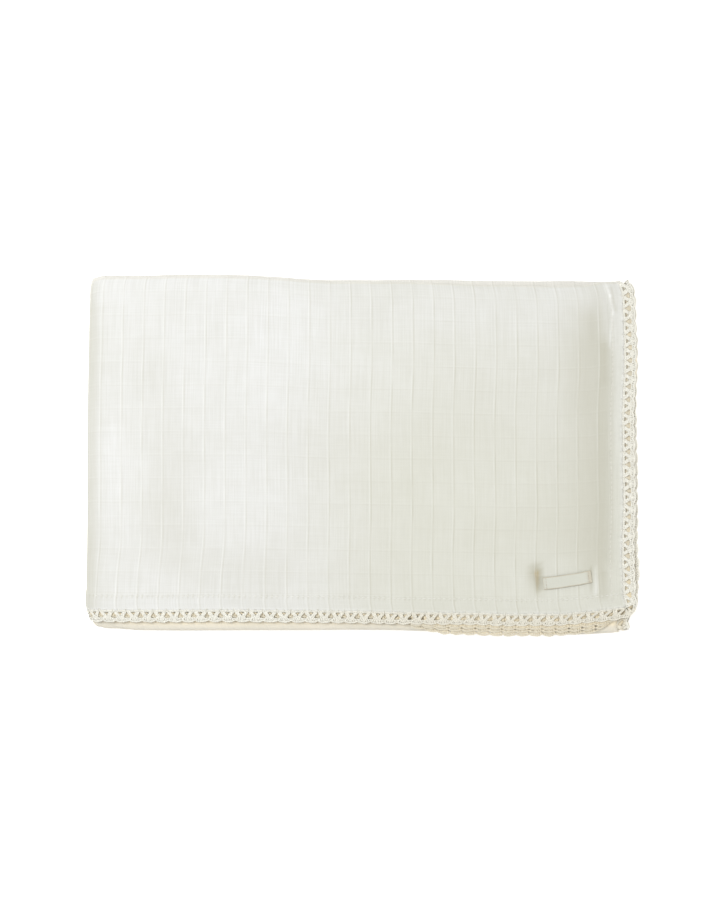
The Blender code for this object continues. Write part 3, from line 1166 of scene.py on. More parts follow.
class YarnWork:
    """Gathers strands of yarn into one mesh."""

    def __init__(self, sides: int) -> None:
        """Starts with no strands; sides is the number of sides of each strand."""
        self.sides = sides
        self.points: list[Points] = []
        self.uvs: list[Points] = []
        self.faces: list[list[int]] = []

    def strand(self, path: Points, radius: float) -> None:
        """Adds one strand.

        Args:
            path: Its middle line, one row a point, in millimetres.
            radius: Its radius, in millimetres.
        """
        path = np.asarray(path, dtype=float) * MM
        tangent = np.gradient(path, axis=0)
        tangent /= np.linalg.norm(tangent, axis=1, keepdims=True)
        side = np.cross(tangent, np.array([0.0, 0.0, 1.0]))
        side /= np.maximum(np.linalg.norm(side, axis=1, keepdims=True), 1e-9)
        up = np.cross(side, tangent)
        angles = 2.0 * math.pi * np.arange(self.sides) / self.sides
        aside, above = np.cos(angles)[None, :, None], np.sin(angles)[None, :, None]
        ring = side[:, None, :] * aside + up[:, None, :] * above
        points = path[:, None, :] + ring * radius * MM
        steps = np.linalg.norm(np.diff(path, axis=0), axis=1)
        length = np.concatenate(([0.0], np.cumsum(steps)))
        rounds = np.arange(self.sides)[None, :] / self.sides
        uv = np.stack(np.broadcast_arrays(rounds, length[:, None]), axis=-1)
        first = sum(len(block) for block in self.points)
        rings = len(path)
        for index in range(rings - 1):
            for number in range(self.sides):
                after = (number + 1) % self.sides
                low, high = first + index * self.sides, first + (index + 1) * self.sides
                self.faces.append([low + number, high + number, high + after, low + after])
        last = first + (rings - 1) * self.sides
        self.faces.append([first + number for number in range(self.sides)])
        self.faces.append([last + number for number in reversed(range(self.sides))])
        self.points.append(points.reshape(-1, 3))
        self.uvs.append(uv.reshape(-1, 2))

    def cord(self, axis: Points, strands: int, spread: float, radius: float, turns: float,
             phase: float = 0.0, flatten: float = 0.75) -> None:
        """Adds strands wound round each other.

        Args:
            axis: The cord's middle line, one row a point, in millimetres.
            strands: How many strands.
            spread: Distance of each strand from the middle line.
            radius: Radius of each strand.
            turns: How many times they wind round.
            phase: Where the winding starts, in turns.
            flatten: How flat the cord is pressed, 1 being round.
        """
        axis = np.asarray(axis, dtype=float)
        tangent = np.gradient(axis, axis=0)
        tangent /= np.linalg.norm(tangent, axis=1, keepdims=True)
        side = np.stack([tangent[:, 1], -tangent[:, 0], np.zeros(len(axis))], axis=1)
        side /= np.maximum(np.linalg.norm(side, axis=1, keepdims=True), 1e-9)
        share = np.linspace(0.0, 1.0, len(axis))
        for strand in range(strands):
            angle = 2.0 * math.pi * (share * turns + phase + strand / strands)
            offset = side * (spread * np.cos(angle))[:, None]
            offset[:, 2] += spread * flatten * np.sin(angle)
            self.strand(axis + offset, radius)

    def build(self, name: str) -> bpy.types.Object:
        """The strands as one object."""
        return mesh_object(name, np.concatenate(self.points), self.faces, np.concatenate(self.uvs), "yarn")


def bowed(start: Sequence[float], end: Sequence[float], bow: float, steps: int) -> Points:
    """A slightly curved line in the flat.

    Args:
        start: First point.
        end: Last point.
        bow: How far the middle stands aside.
        steps: Number of points.

    Returns:
        One row a point.
    """
    first, last = np.array(start, dtype=float), np.array(end, dtype=float)
    run = last - first
    aside = np.array([-run[1], run[0], 0.0])
    aside /= np.linalg.norm(aside)
    share = np.linspace(0.0, 1.0, steps)[:, None]
    return first + run * share + aside * bow * np.sin(math.pi * share)


class Detail(Enum):
    """How closely a repeat of the edging is made."""

    CLOSE = "close"
    OPEN = "open"
    PLAIN = "plain"


@dataclass
class LaceRepeat:
    """One repeat of the crochet: slanting posts from the hem, and a shell of posts with its rim.

    Sizes are in millimetres. The repeat is centred on its shell; the hem is at zero depth.
    """

    pitch: float = 7.4
    shell_root: float = 2.85
    shell_depth: float = 5.95
    bridge_depth: float = 5.05
    yarn: float = 0.36
    slants: tuple[tuple[float, float, float], ...] = ((0.3, 1.6, 0.35), (0.85, 1.05, 0.1), (1.45, 0.5, -0.1))
    shell_posts: tuple[tuple[float, float], ...] = (
        (-1.5, -0.41), (-0.75, -0.24), (-0.2, -0.07), (0.2, 0.07), (0.75, 0.24), (1.5, 0.41),
    )
    plain_posts: tuple[tuple[float, float], ...] = (
        (-1.5, -0.40), (-0.8, -0.2), (0.0, 0.0), (0.8, 0.2), (1.5, 0.40),
    )

    def rim(self, steps: int) -> Points:
        """Middle line of the scalloped rim, from bridge to bridge."""
        u = np.linspace(-0.5, 0.5, steps)
        bulge = np.cos(u * math.pi) ** 0.8
        depth = self.bridge_depth + (self.shell_depth - self.bridge_depth) * bulge
        return np.stack([u * self.pitch, depth, np.zeros(steps)], axis=1)

    def rim_at(self, share: float) -> Points:
        """A point of the rim, at a share of the pitch from its middle."""
        return self.rim(201)[int(round((share + 0.5) * 200))]

    def add_chain(self, work: YarnWork) -> None:
        """The chain along the hem, which the posts hang from."""
        place = np.linspace(-self.pitch / 2.0, self.pitch / 2.0, 13)
        chain = np.stack([place, np.zeros(13), np.full(13, 0.14)], axis=1)
        work.cord(chain, 2, 0.30, self.yarn * 0.95, 3.0, flatten=0.6)

    def add_posts(self, work: YarnWork, hand: float, barred: bool) -> None:
        """The slanting posts of one half, its stitch into the hem, and its bars.

        Args:
            work: What they are added to.
            hand: -1 for one half of the repeat and 1 for the other.
            barred: Whether bars join the repeat to its neighbour.
        """
        half, yarn = self.pitch / 2.0, self.yarn
        for rank, (near, far, deep) in enumerate(self.slants):
            start = (hand * (half - near), 0.45, 0.0)
            end = (hand * far, self.shell_root + deep, 0.1)
            work.cord(bowed(start, end, 0.15 * hand, 5), 2, 0.26, yarn, 0.8, 0.2 + 0.3 * rank)
        root, tip = (hand * (half - 0.2), -1.2, 0.5), (hand * (half - 0.7), 0.5, 0.5)
        work.strand(bowed(root, tip, 0.1, 4), yarn * 0.6)
        if barred:
            outer = hand * (half + 0.05)
            bar = [(outer, 4.25, 0.0), (hand * (half - 0.8), 4.2, 0.05), (hand * 2.1, 4.45, 0.0)]
            inner_edge = [(outer, 0.5, 0.05), (hand * 1.6, 0.52, 0.12), (0.0, 0.48, 0.05)]
            work.strand(bar, yarn * 1.25)
            work.strand(inner_edge, yarn * 0.75)

    def close(self, barred: bool) -> YarnWork:
        """The repeat with every post wound from two strands, its shells joined by bars if barred."""
        work = YarnWork(5)
        yarn = self.yarn
        self.add_chain(work)
        for hand in (-1.0, 1.0):
            self.add_posts(work, hand, barred)
        work.strand(bowed((0.1, -1.1, 0.5), (-0.2, 0.55, 0.5), 0.1, 4), yarn * 0.6)
        for rank, (root, share) in enumerate(self.shell_posts):
            tip = self.rim_at(share)
            start = (root, self.shell_root + 0.15 * abs(root), 0.15)
            end = (tip[0] * 0.98, tip[1] - 0.25, 0.05)
            work.cord(bowed(start, end, 0.1 * np.sign(root), 5), 2, 0.24, yarn, 0.8, 0.15 * rank)
        work.cord(self.rim(17), 2, 0.31, yarn * 1.05, 4.0)
        knot = np.linspace(-1.35, 1.35, 7)
        arch = np.stack([knot, self.shell_root + 0.1 + 0.12 * knot**2, 0.42 - 0.12 * knot**2], axis=1)
        work.strand(arch, yarn)
        return work

    def plain(self) -> YarnWork:
        """The repeat with single thick posts, for rows that show only their rims."""
        work = YarnWork(5)
        half, root_depth = self.pitch / 2.0, self.shell_root
        work.strand([(-half, 0.3, 0.0), (0.0, 0.3, 0.0), (half, 0.3, 0.0)], self.yarn * 1.5)
        for hand in (-1.0, 1.0):
            for near, far, height, radius in ((0.8, 1.3, 0.0, 0.62), (1.5, 0.6, 0.1, 0.5)):
                start = (hand * (half - near), 0.3, height)
                work.strand(bowed(start, (hand * far, root_depth, height), 0.1, 3), radius)
            work.strand([(hand * half, 4.3, 0.0), (hand * 2.2, 4.4, 0.0)], 0.5)
        for root, share in self.plain_posts:
            tip = self.rim_at(share)
            work.strand([(root, root_depth + 0.1, 0.0), (tip[0], tip[1] - 0.2, 0.0)], 0.58)
        work.cord(self.rim(13), 2, 0.27, self.yarn * 1.15, 3.0, flatten=0.8)
        return work

    def build(self, detail: Detail) -> bpy.types.Object:
        """The repeat as an object."""
        work = self.plain() if detail is Detail.PLAIN else self.close(detail is Detail.CLOSE)
        return work.build(f"lace_repeat_{detail.value}")


@dataclass(frozen=True)
class RepeatPlan:
    """How a small piece is repeated along a straight line, and how unevenly."""

    name: str
    count: int
    pitch: float
    seed: int
    turn: float = 0.0
    spread: float = 0.0
    unevenness: float = 0.0


class LineRepeater:
    """Repeats a small piece along the X axis with one geometry node tree."""

    INPUTS = (
        ("Piece", "NodeSocketObject"),
        ("Count", "NodeSocketInt"),
        ("Pitch", "NodeSocketFloat"),
        ("Turn", "NodeSocketFloat"),
        ("Spread", "NodeSocketFloat"),
        ("Unevenness", "NodeSocketFloat"),
        ("Seed", "NodeSocketInt"),
        ("Finish", "NodeSocketMaterial"),
    )

    def __init__(self) -> None:
        """Builds the node tree once."""
        self.tree = bpy.data.node_groups.new("Repeat along a line", "GeometryNodeTree")
        self.tree.interface.new_socket(name="Geometry", in_out="INPUT", socket_type="NodeSocketGeometry")
        self.sockets = {
            name: self.tree.interface.new_socket(name=name, in_out="INPUT", socket_type=kind).identifier
            for name, kind in self.INPUTS
        }
        self.tree.interface.new_socket(name="Geometry", in_out="OUTPUT", socket_type="NodeSocketGeometry")
        self.wire()

    def wire(self) -> None:
        """Adds and links the tree's nodes."""
        sketch = NodeSketch(self.tree)
        source = sketch.add("NodeGroupInput").outputs
        placed = self.placed_pieces(sketch, source)
        realize = sketch.add("GeometryNodeRealizeInstances")
        sketch.feed(realize.inputs[0], placed)
        moved = sketch.add("GeometryNodeSetPosition")
        sketch.feed(moved.inputs["Geometry"], realize.outputs[0])
        sketch.feed(moved.inputs["Offset"], self.unevenness(sketch, source))
        finish = sketch.add("GeometryNodeSetMaterial")
        sketch.feed(finish.inputs["Geometry"], moved.outputs[0])
        sketch.feed(finish.inputs["Material"], source["Finish"])
        sketch.feed(sketch.add("NodeGroupOutput").inputs[0], finish.outputs[0])

    def placed_pieces(self, sketch: NodeSketch, source: object) -> Socket:
        """The pieces along the line, each turned and sized a little differently.

        Args:
            sketch: The tree.
            source: The tree's inputs.

        Returns:
            Socket of the instances.
        """
        step = sketch.add("ShaderNodeCombineXYZ")
        sketch.feed(step.inputs["X"], source["Pitch"])
        line = sketch.add("GeometryNodeMeshLine", mode="OFFSET")
        sketch.feed(line.inputs["Count"], source["Count"])
        sketch.feed(line.inputs["Offset"], step.outputs[0])
        piece = sketch.add("GeometryNodeObjectInfo")
        piece.inputs["As Instance"].default_value = True
        sketch.feed(piece.inputs["Object"], source["Piece"])
        place = sketch.add("GeometryNodeInstanceOnPoints")
        sketch.feed(place.inputs["Points"], line.outputs["Mesh"])
        sketch.feed(place.inputs["Instance"], piece.outputs["Geometry"])
        spin = sketch.add("ShaderNodeCombineXYZ")
        least_turn = sketch.math("MULTIPLY", source["Turn"], -1.0)
        sketch.feed(spin.inputs["Z"], self.random(sketch, least_turn, source["Turn"], source["Seed"]))
        sketch.feed(place.inputs["Rotation"], spin.outputs[0])
        least_size = sketch.math("SUBTRACT", 1.0, source["Spread"])
        most_size = sketch.math("ADD", 1.0, source["Spread"])
        size_seed = sketch.math("ADD", source["Seed"], 7.0)
        sketch.feed(place.inputs["Scale"], self.random(sketch, least_size, most_size, size_seed))
        return place.outputs[0]

    @staticmethod
    def random(sketch: NodeSketch, least: Socket, most: Socket, seed: Socket) -> Socket:
        """A random number for each piece, between two sockets' values."""
        node = sketch.add("FunctionNodeRandomValue", data_type="FLOAT")
        sketch.feed(node.inputs[2], least)
        sketch.feed(node.inputs[3], most)
        sketch.feed(node.inputs["Seed"], seed)
        return node.outputs[1]

    @staticmethod
    def unevenness(sketch: NodeSketch, source: object) -> Socket:
        """A small smooth offset that differs all along the line.

        Args:
            sketch: The tree.
            source: The tree's inputs.

        Returns:
            The offset's socket.
        """
        noise = sketch.add("ShaderNodeTexNoise", noise_dimensions="4D")
        noise.inputs["Scale"].default_value = 380.0
        noise.inputs["Detail"].default_value = 1.0
        sketch.feed(noise.inputs["Vector"], sketch.add("GeometryNodeInputPosition").outputs[0])
        sketch.feed(noise.inputs["W"], sketch.math("MULTIPLY", source["Seed"], 3.7))
        centred = sketch.add("ShaderNodeVectorMath", operation="SUBTRACT")
        sketch.feed(centred.inputs[0], noise.outputs["Color"])
        centred.inputs[1].default_value = (0.5, 0.5, 0.5)
        scaled = sketch.add("ShaderNodeVectorMath", operation="SCALE")
        sketch.feed(scaled.inputs[0], centred.outputs[0])
        sketch.feed(scaled.inputs["Scale"], source["Unevenness"])
        return scaled.outputs[0]

    def run(self, piece: bpy.types.Object, plan: RepeatPlan, finish: bpy.types.Material) -> bpy.types.Object:
        """Makes a line of repeats as a plain mesh.

        Args:
            piece: The small piece.
            plan: How it is repeated.
            finish: Its material.

        Returns:
            A new object with the realized mesh.
        """
        carrier = bpy.data.objects.new(f"{plan.name}_carrier", bpy.data.meshes.new(f"{plan.name}_carrier"))
        bpy.context.scene.collection.objects.link(carrier)
        modifier = carrier.modifiers.new("Repeat", "NODES")
        modifier.node_group = self.tree
        values = {
            "Piece": piece, "Count": plan.count, "Pitch": plan.pitch, "Turn": plan.turn,
            "Spread": plan.spread, "Unevenness": plan.unevenness, "Seed": plan.seed, "Finish": finish,
        }
        for name, value in values.items():
            modifier[self.sockets[name]] = value
        graph = bpy.context.evaluated_depsgraph_get()
        mesh = bpy.data.meshes.new_from_object(carrier.evaluated_get(graph), depsgraph=graph)
        mesh.name = plan.name
        obj = bpy.data.objects.new(plan.name, mesh)
        bpy.context.scene.collection.objects.link(obj)
        bpy.data.objects.remove(carrier)
        if not mesh.materials:
            mesh.materials.append(finish)
        return obj


def read_points(obj: bpy.types.Object) -> Points:
    """The points of an object's mesh, one row each."""
    flat = np.empty(3 * len(obj.data.vertices))
    obj.data.vertices.foreach_get("co", flat)
    return flat.reshape(-1, 3)


def write_points(obj: bpy.types.Object, points: Points) -> None:
    """Moves an object's mesh points."""
    obj.data.vertices.foreach_set("co", points.ravel())
    obj.data.update()


def remove_piece(obj: bpy.types.Object) -> None:
    """Deletes a piece that was only repeated."""
    bpy.data.objects.remove(obj)


@dataclass
class Edging:
    """The crochet worked into the hem, all round the flat cloth and round its four corners."""

    plan: FoldPlan
    repeater: LineRepeater
    repeat: LaceRepeat = field(default_factory=LaceRepeat)
    lift: float = 0.05 * MM
    top_lift: float = 0.12 * MM
    lower_squash: float = 0.72
    side_curl: float = 0.8 * MM
    unevenness: float = 0.9 * MM

    def __post_init__(self) -> None:
        """Counts the repeats along each side."""
        self.pitch = self.repeat.pitch * MM
        self.across = round(self.plan.width / self.pitch)
        self.along = round(self.plan.length / self.pitch)
        self.total = 2 * (self.across + self.along) + 4

    def to_cloth(self, repeats: Points, depth: Points) -> tuple[Points, Points]:
        """Lays the edging round the flat cloth.

        Args:
            repeats: Places along it, counted in repeats.
            depth: Places outward from the hem, in metres.

        Returns:
            Places across and along the flat cloth.
        """
        width, length = self.plan.width, self.plan.length
        p = np.zeros_like(repeats)
        q = np.zeros_like(repeats)
        start = 0.0
        corners = ((0.0, 0.0), (width, 0.0), (width, length), (0.0, length))
        counts = (self.across, self.along, self.across, self.along)
        place = np.mod(repeats, self.total)
        for side, count in enumerate(counts):
            first, last = np.array(corners[side]), np.array(corners[(side + 1) % 4])
            out_angle = -math.pi / 2.0 + side * math.pi / 2.0
            here = (place >= start) & (place < start + count)
            share = (place[here] - start) / count
            p[here] = first[0] + (last[0] - first[0]) * share + depth[here] * math.cos(out_angle)
            q[here] = first[1] + (last[1] - first[1]) * share + depth[here] * math.sin(out_angle)
            start += count
            here = (place >= start) & (place < start + 1.0)
            angle = out_angle + (place[here] - start) * math.pi / 2.0
            p[here] = last[0] + depth[here] * np.cos(angle)
            q[here] = last[1] + depth[here] * np.sin(angle)
            start += 1.0
        return p, q

    def shade_levels(self, p: Points, q: Points, depth: Points) -> Points:
        """Painted shade: how shut in the edging is, 0 in the top row, 1 at the rims below it, 2 deep between
        rows; the top row gets some towards the right.
        """
        ply, layer = self.plan.across(p)[0], self.plan.along(q)[0]
        below = ((ply > 0) | (layer > 0)).astype(float)
        at_front = ((q < 0.1 * MM) | (q > self.plan.length - 0.1 * MM)).astype(float)
        rim = smooth_step((depth - 4.0 * MM) / (2.0 * MM))
        rim_shade = 0.9 * at_front
        root_shade = 0.8 + 0.8 * at_front
        # Painted shade on the top row of lace towards the right, as on the cloth.
        right_falloff = smooth_step((200.0 * MM - p) / (90.0 * MM)) * at_front
        return below * (root_shade + (rim_shade - root_shade) * rim) + 0.35 * (1.0 - below) * right_falloff

    def row(self, name: str, start: int, count: int, seed: int, detail: Detail,
            finish: bpy.types.Material) -> bpy.types.Object:
        """Makes one stretch of the edging and folds it with the cloth.

        Args:
            name: The piece's name.
            start: Its first repeat.
            count: How many repeats.
            seed: Picks its unevenness.
            detail: How closely it is made.
            finish: The yarn.

        Returns:
            The piece.
        """
        piece = self.repeat.build(detail)
        plan = RepeatPlan(name, count, self.pitch, seed, unevenness=self.unevenness)
        row = self.repeater.run(piece, plan, finish)
        remove_piece(piece)
        points = read_points(row)
        repeats = start + 0.5 + points[:, 0] / self.pitch
        p, q = self.to_cloth(repeats, points[:, 1])
        write_points(row, self.plan.fold(p, q, self.lifts(p, q, points[:, 1], points[:, 2])))
        # Painted shade on rows that lie shut in under others.
        set_mask(row, "tone", self.shade_levels(p, q, points[:, 1]))
        return row

    def lifts(self, p: Points, q: Points, depth: Points, height: Points) -> Points:
        """How far the yarn stands off the cloth; lower rows are pressed flatter and curl up at the side.

        Args:
            p: Places across the flat cloth.
            q: Places along it.
            depth: Places outward from the hem.
            height: Heights in the unpressed repeat.

        Returns:
            Distances towards the cloth's right side, in metres.
        """
        on_top = ((self.plan.across(p)[0] == 0) & (self.plan.along(q)[0] == 0)).astype(float)
        squash = self.lower_squash + (1.0 - self.lower_squash) * on_top
        at_side = (q > 0.1 * MM) & (q < self.plan.length - 0.1 * MM)
        rim = smooth_step((depth - 1.5 * MM) / (4.0 * MM))
        curl = self.side_curl * rim * at_side * (1.0 - on_top) * self.plan.upward(p, q)
        return height * squash + self.lift + self.top_lift * on_top + curl

    def build(self, finish: bpy.types.Material) -> list[bpy.types.Object]:
        """Builds the edging in a few pieces.

        Args:
            finish: The yarn.

        Returns:
            The pieces.
        """
        half = self.across // 2
        far_side = self.across
        top_side = self.along // self.plan.layers + 2
        last_side = self.total - self.along - 1
        stretches = (
            ("front_edging_upper", 0, half, Detail.CLOSE),
            ("front_edging_lower", half, self.across - half, Detail.OPEN),
            ("side_edging_inner", far_side, self.along + 1, Detail.PLAIN),
            ("back_edging", far_side + self.along + 1, self.across + 1, Detail.PLAIN),
            ("side_edging_lower", last_side, self.along - top_side, Detail.PLAIN),
            ("side_edging_top", self.total - 1 - top_side, top_side + 1, Detail.CLOSE),
        )
        return [
            self.row(name, start, count, 5 + number, detail, finish)
            for number, (name, start, count, detail) in enumerate(stretches)
        ]


@dataclass(frozen=True)
class Seam:
    """A straight run of stitches on the flat cloth: where it starts, which way it runs and how far."""

    name: str
    seed: int
    start: tuple[float, float]
    heading: tuple[float, float]
    length: float
    # How much painted shade its stitches get.
    tone: float

    def to_cloth(self, run: Points, aside: Points) -> tuple[Points, Points]:
        """Places across and along the flat cloth, for places along and beside the seam."""
        (start_p, start_q), (ahead_p, ahead_q) = self.start, self.heading
        return start_p + run * ahead_p + aside * ahead_q, start_q + run * ahead_q - aside * ahead_p


@dataclass
class HemStitches:
    """Lockstitch along the inner edges of the turned hems."""

    plan: FoldPlan
    relief: ClothRelief
    repeater: LineRepeater
    pitch: float = 2.8 * MM
    stitch_length: float = 1.9
    thread: float = 0.17
    from_edge: float = 8.3 * MM
    side_from_edge: float = 7.0 * MM
    surface: float = 0.24 * MM
    lowest: float = -0.3 * MM

    def stitch(self) -> bpy.types.Object:
        """One stitch, its ends dipping into the cloth."""
        work = YarnWork(6)
        place = np.linspace(-0.5, 0.5, 6)
        height = 0.06 - 1.35 * np.abs(place) ** 3
        path = np.stack([place * self.stitch_length, np.zeros(6), height], axis=1)
        work.strand(path, self.thread)
        return work.build("stitch")

    def seams(self) -> tuple[Seam, ...]:
        """The seams that show on the top and on the underside."""
        length, front, side = self.plan.length, self.from_edge, self.side_from_edge
        front_run, side_run = self.plan.ply_run, self.plan.layer_runs[0] - 8.0 * MM
        ahead, onward, back = (1.0, 0.0), (0.0, 1.0), (0.0, -1.0)
        return (
            Seam("front_hem_stitches", 21, (4.0 * MM, front), ahead, front_run - 6.0 * MM, 0.1),
            Seam("side_hem_stitches", 22, (side, 5.0 * MM), onward, side_run, 0.5),
            Seam("under_front_stitches", 23, (6.0 * MM, length - front), ahead, front_run - 8.0 * MM, 0.1),
            Seam("under_side_stitches", 24, (side, length - 5.0 * MM), back, side_run, 0.5),
        )

    def sew(self, seam: Seam, finish: bpy.types.Material) -> bpy.types.Object:
        """Makes one seam and folds it with the cloth.

        Args:
            seam: The seam.
            finish: The thread.

        Returns:
            The piece.
        """
        piece = self.stitch()
        plan = RepeatPlan(seam.name, int(seam.length / self.pitch), self.pitch, seam.seed, turn=0.16,
                          spread=0.12, unevenness=0.10 * MM)
        run = self.repeater.run(piece, plan, finish)
        remove_piece(piece)
        points = read_points(run)
        p, q = seam.to_cloth(points[:, 0], points[:, 1])
        lift = self.surface + self.relief.height(p, q) + points[:, 2]
        write_points(run, self.plan.fold(p, q, lift, self.lowest))
        # Painted shade on the stitches.
        set_mask(run, "tone", np.full(len(points), seam.tone))
        return run

    def build(self, finish: bpy.types.Material) -> list[bpy.types.Object]:
        """Builds the seams in the thread's finish."""
        return [self.sew(seam, finish) for seam in self.seams()]


@dataclass
class SideLabel:
    """A plain woven label near the corner, its ends turned under and stitched down."""

    plan: FoldPlan
    relief: ClothRelief
    centre: tuple[float, float] = (113.8 * MM, -70.0 * MM)
    size: tuple[float, float] = (26.6 * MM, 6.9 * MM)
    turn: float = math.radians(5.2)
    tape: float = 0.26 * MM
    tuck: float = 4.5 * MM
    fold_radius: float = 0.22 * MM
    rest: float = 0.26 * MM
    tacks: int = 4
    tack_from_end: float = 1.5
    tack_length: float = 1.35
    tack_thread: float = 0.15

    def cloth_place(self) -> tuple[float, float]:
        """The label's middle on the flat cloth, found by trying and correcting."""
        p = self.plan.hem_side - self.centre[0]
        q = self.centre[1] - self.plan.hem_front
        for _ in range(6):
            x, y, _ = self.plan.fold(np.array([p]), np.array([q]), np.array([0.0]))[0]
            p += x - self.centre[0]
            q += self.centre[1] - y
        return p, q

    def on_cloth(self, u: Points, v: Points) -> tuple[Points, Points]:
        """Places across and along the flat cloth, for places along and across the label."""
        p0, q0 = self.cloth_place()
        sin, cos = math.sin(self.turn), math.cos(self.turn)
        return p0 - (u * cos - v * sin), q0 + (u * sin + v * cos)

    def profile(self) -> Points:
        """Places along the tape: under, round the fold, over the top, and under again."""
        half = self.size[0] / 2.0
        radius = self.fold_radius
        straight = half - radius
        rounds = np.linspace(-math.pi / 2.0, math.pi / 2.0, 7)
        right = [(straight + radius * math.cos(a), radius + radius * math.sin(a)) for a in rounds]
        under = [(straight - self.tuck * share, 0.0) for share in (1.0, 0.6, 0.25)]
        middle = [(straight * share, 2.0 * radius) for share in np.linspace(0.94, 0.0, 12)]
        left = [(-u, h) for u, h in reversed(under + right + middle[:-1])]
        return np.array(under + right + middle + left)

    def build(self, finish: bpy.types.Material) -> bpy.types.Object:
        """Builds the label.

        Args:
            finish: The tape.

        Returns:
            The label.
        """
        profile = self.profile()
        sides = np.array([-0.5, -0.47, -0.43, -0.39, -0.25, -0.1, 0.1, 0.25, 0.39, 0.43, 0.47, 0.5])
        rows, columns = len(profile), len(sides)
        u = np.repeat(profile[:, 0], columns)
        height = np.repeat(profile[:, 1], columns)
        v = np.tile(sides, rows) * self.size[1]
        steps = np.concatenate(([0.0], np.cumsum(np.hypot(*np.diff(profile, axis=0).T))))
        uv = np.stack([np.repeat(steps, columns), v + self.size[1]], axis=1)
        v = v + 0.12 * MM * waves(u, 81, (0.021, 0.011))
        p, q = self.on_cloth(u, v)
        bow = 0.22 * MM * (1.0 - (2.0 * u / self.size[0]) ** 2) * (height > self.fold_radius)
        lift = self.rest + self.relief.ripple + height + bow + 0.06 * MM * waves(u + v, 82, (0.013, 0.006))
        points = self.plan.fold(p, q, lift)
        label = mesh_object("side_label_tape", points, grid_faces(rows, columns), uv, "cloth")
        # Painted shade along the tape's long edges and at its turned ends.
        edge_shade = smooth_step((np.abs(np.tile(sides, rows)) - 0.40) / 0.08)
        right_end = smooth_step((u - self.size[0] / 2.0 + 2.6 * MM) / (1.2 * MM))
        left_end = smooth_step((-u - self.size[0] / 2.0 + 0.9 * MM) / (0.8 * MM))
        set_mask(label, "edge", np.maximum(0.6 * edge_shade, 0.4 * right_end + 0.22 * left_end))
        label.data.materials.append(finish)
        solidify = label.modifiers.new("Thickness", "SOLIDIFY")
        solidify.thickness = self.tape
        solidify.offset = 0.0
        return label

    def stitches(self, finish: bpy.types.Material) -> bpy.types.Object:
        """The small stitches that hold the label's ends.

        Args:
            finish: The thread.

        Returns:
            The stitches.
        """
        work = YarnWork(6)
        half = self.size[0] / 2.0 / MM
        reach = self.size[1] / 2.0 / MM
        place = np.linspace(-0.5, 0.5, 6)
        height = 0.10 - 1.6 * np.abs(place) ** 3
        for hand in (-1.0, 1.0):
            for number in range(self.tacks):
                middle = -reach + (number + 0.5) * 2.0 * reach / self.tacks
                end = np.full(6, hand * (half - self.tack_from_end))
                path = np.stack([end, middle + place * self.tack_length, height], axis=1)
                work.strand(path, self.tack_thread)
        stitches = work.build("label_stitches")
        points = read_points(stitches)
        p, q = self.on_cloth(points[:, 0], points[:, 1])
        surface = self.rest + self.relief.ripple + 2.0 * self.fold_radius + self.tape / 2.0
        write_points(stitches, self.plan.fold(p, q, surface + points[:, 2]))
        # Painted deep shade on the label's stitches.
        set_mask(stitches, "tone", np.full(len(points), 1.6))
        stitches.data.materials.append(finish)
        return stitches


@dataclass(frozen=True)
class Lamp:
    """A soft square lamp aimed at the bundle: where it hangs, its width in metres and its watts."""

    name: str
    place: tuple[float, float, float]
    size: float
    power: float
    color: Color

    def hang(self) -> None:
        """Adds the lamp to the scene."""
        data = bpy.data.lights.new(self.name, "AREA")
        data.shape = "SQUARE"
        data.size = self.size
        data.energy = self.power
        data.color = self.color
        lamp = bpy.data.objects.new(self.name, data)
        lamp.location = self.place
        lamp.rotation_euler = (-Vector(self.place)).to_track_quat("-Z", "Y").to_euler()
        bpy.context.scene.collection.objects.link(lamp)


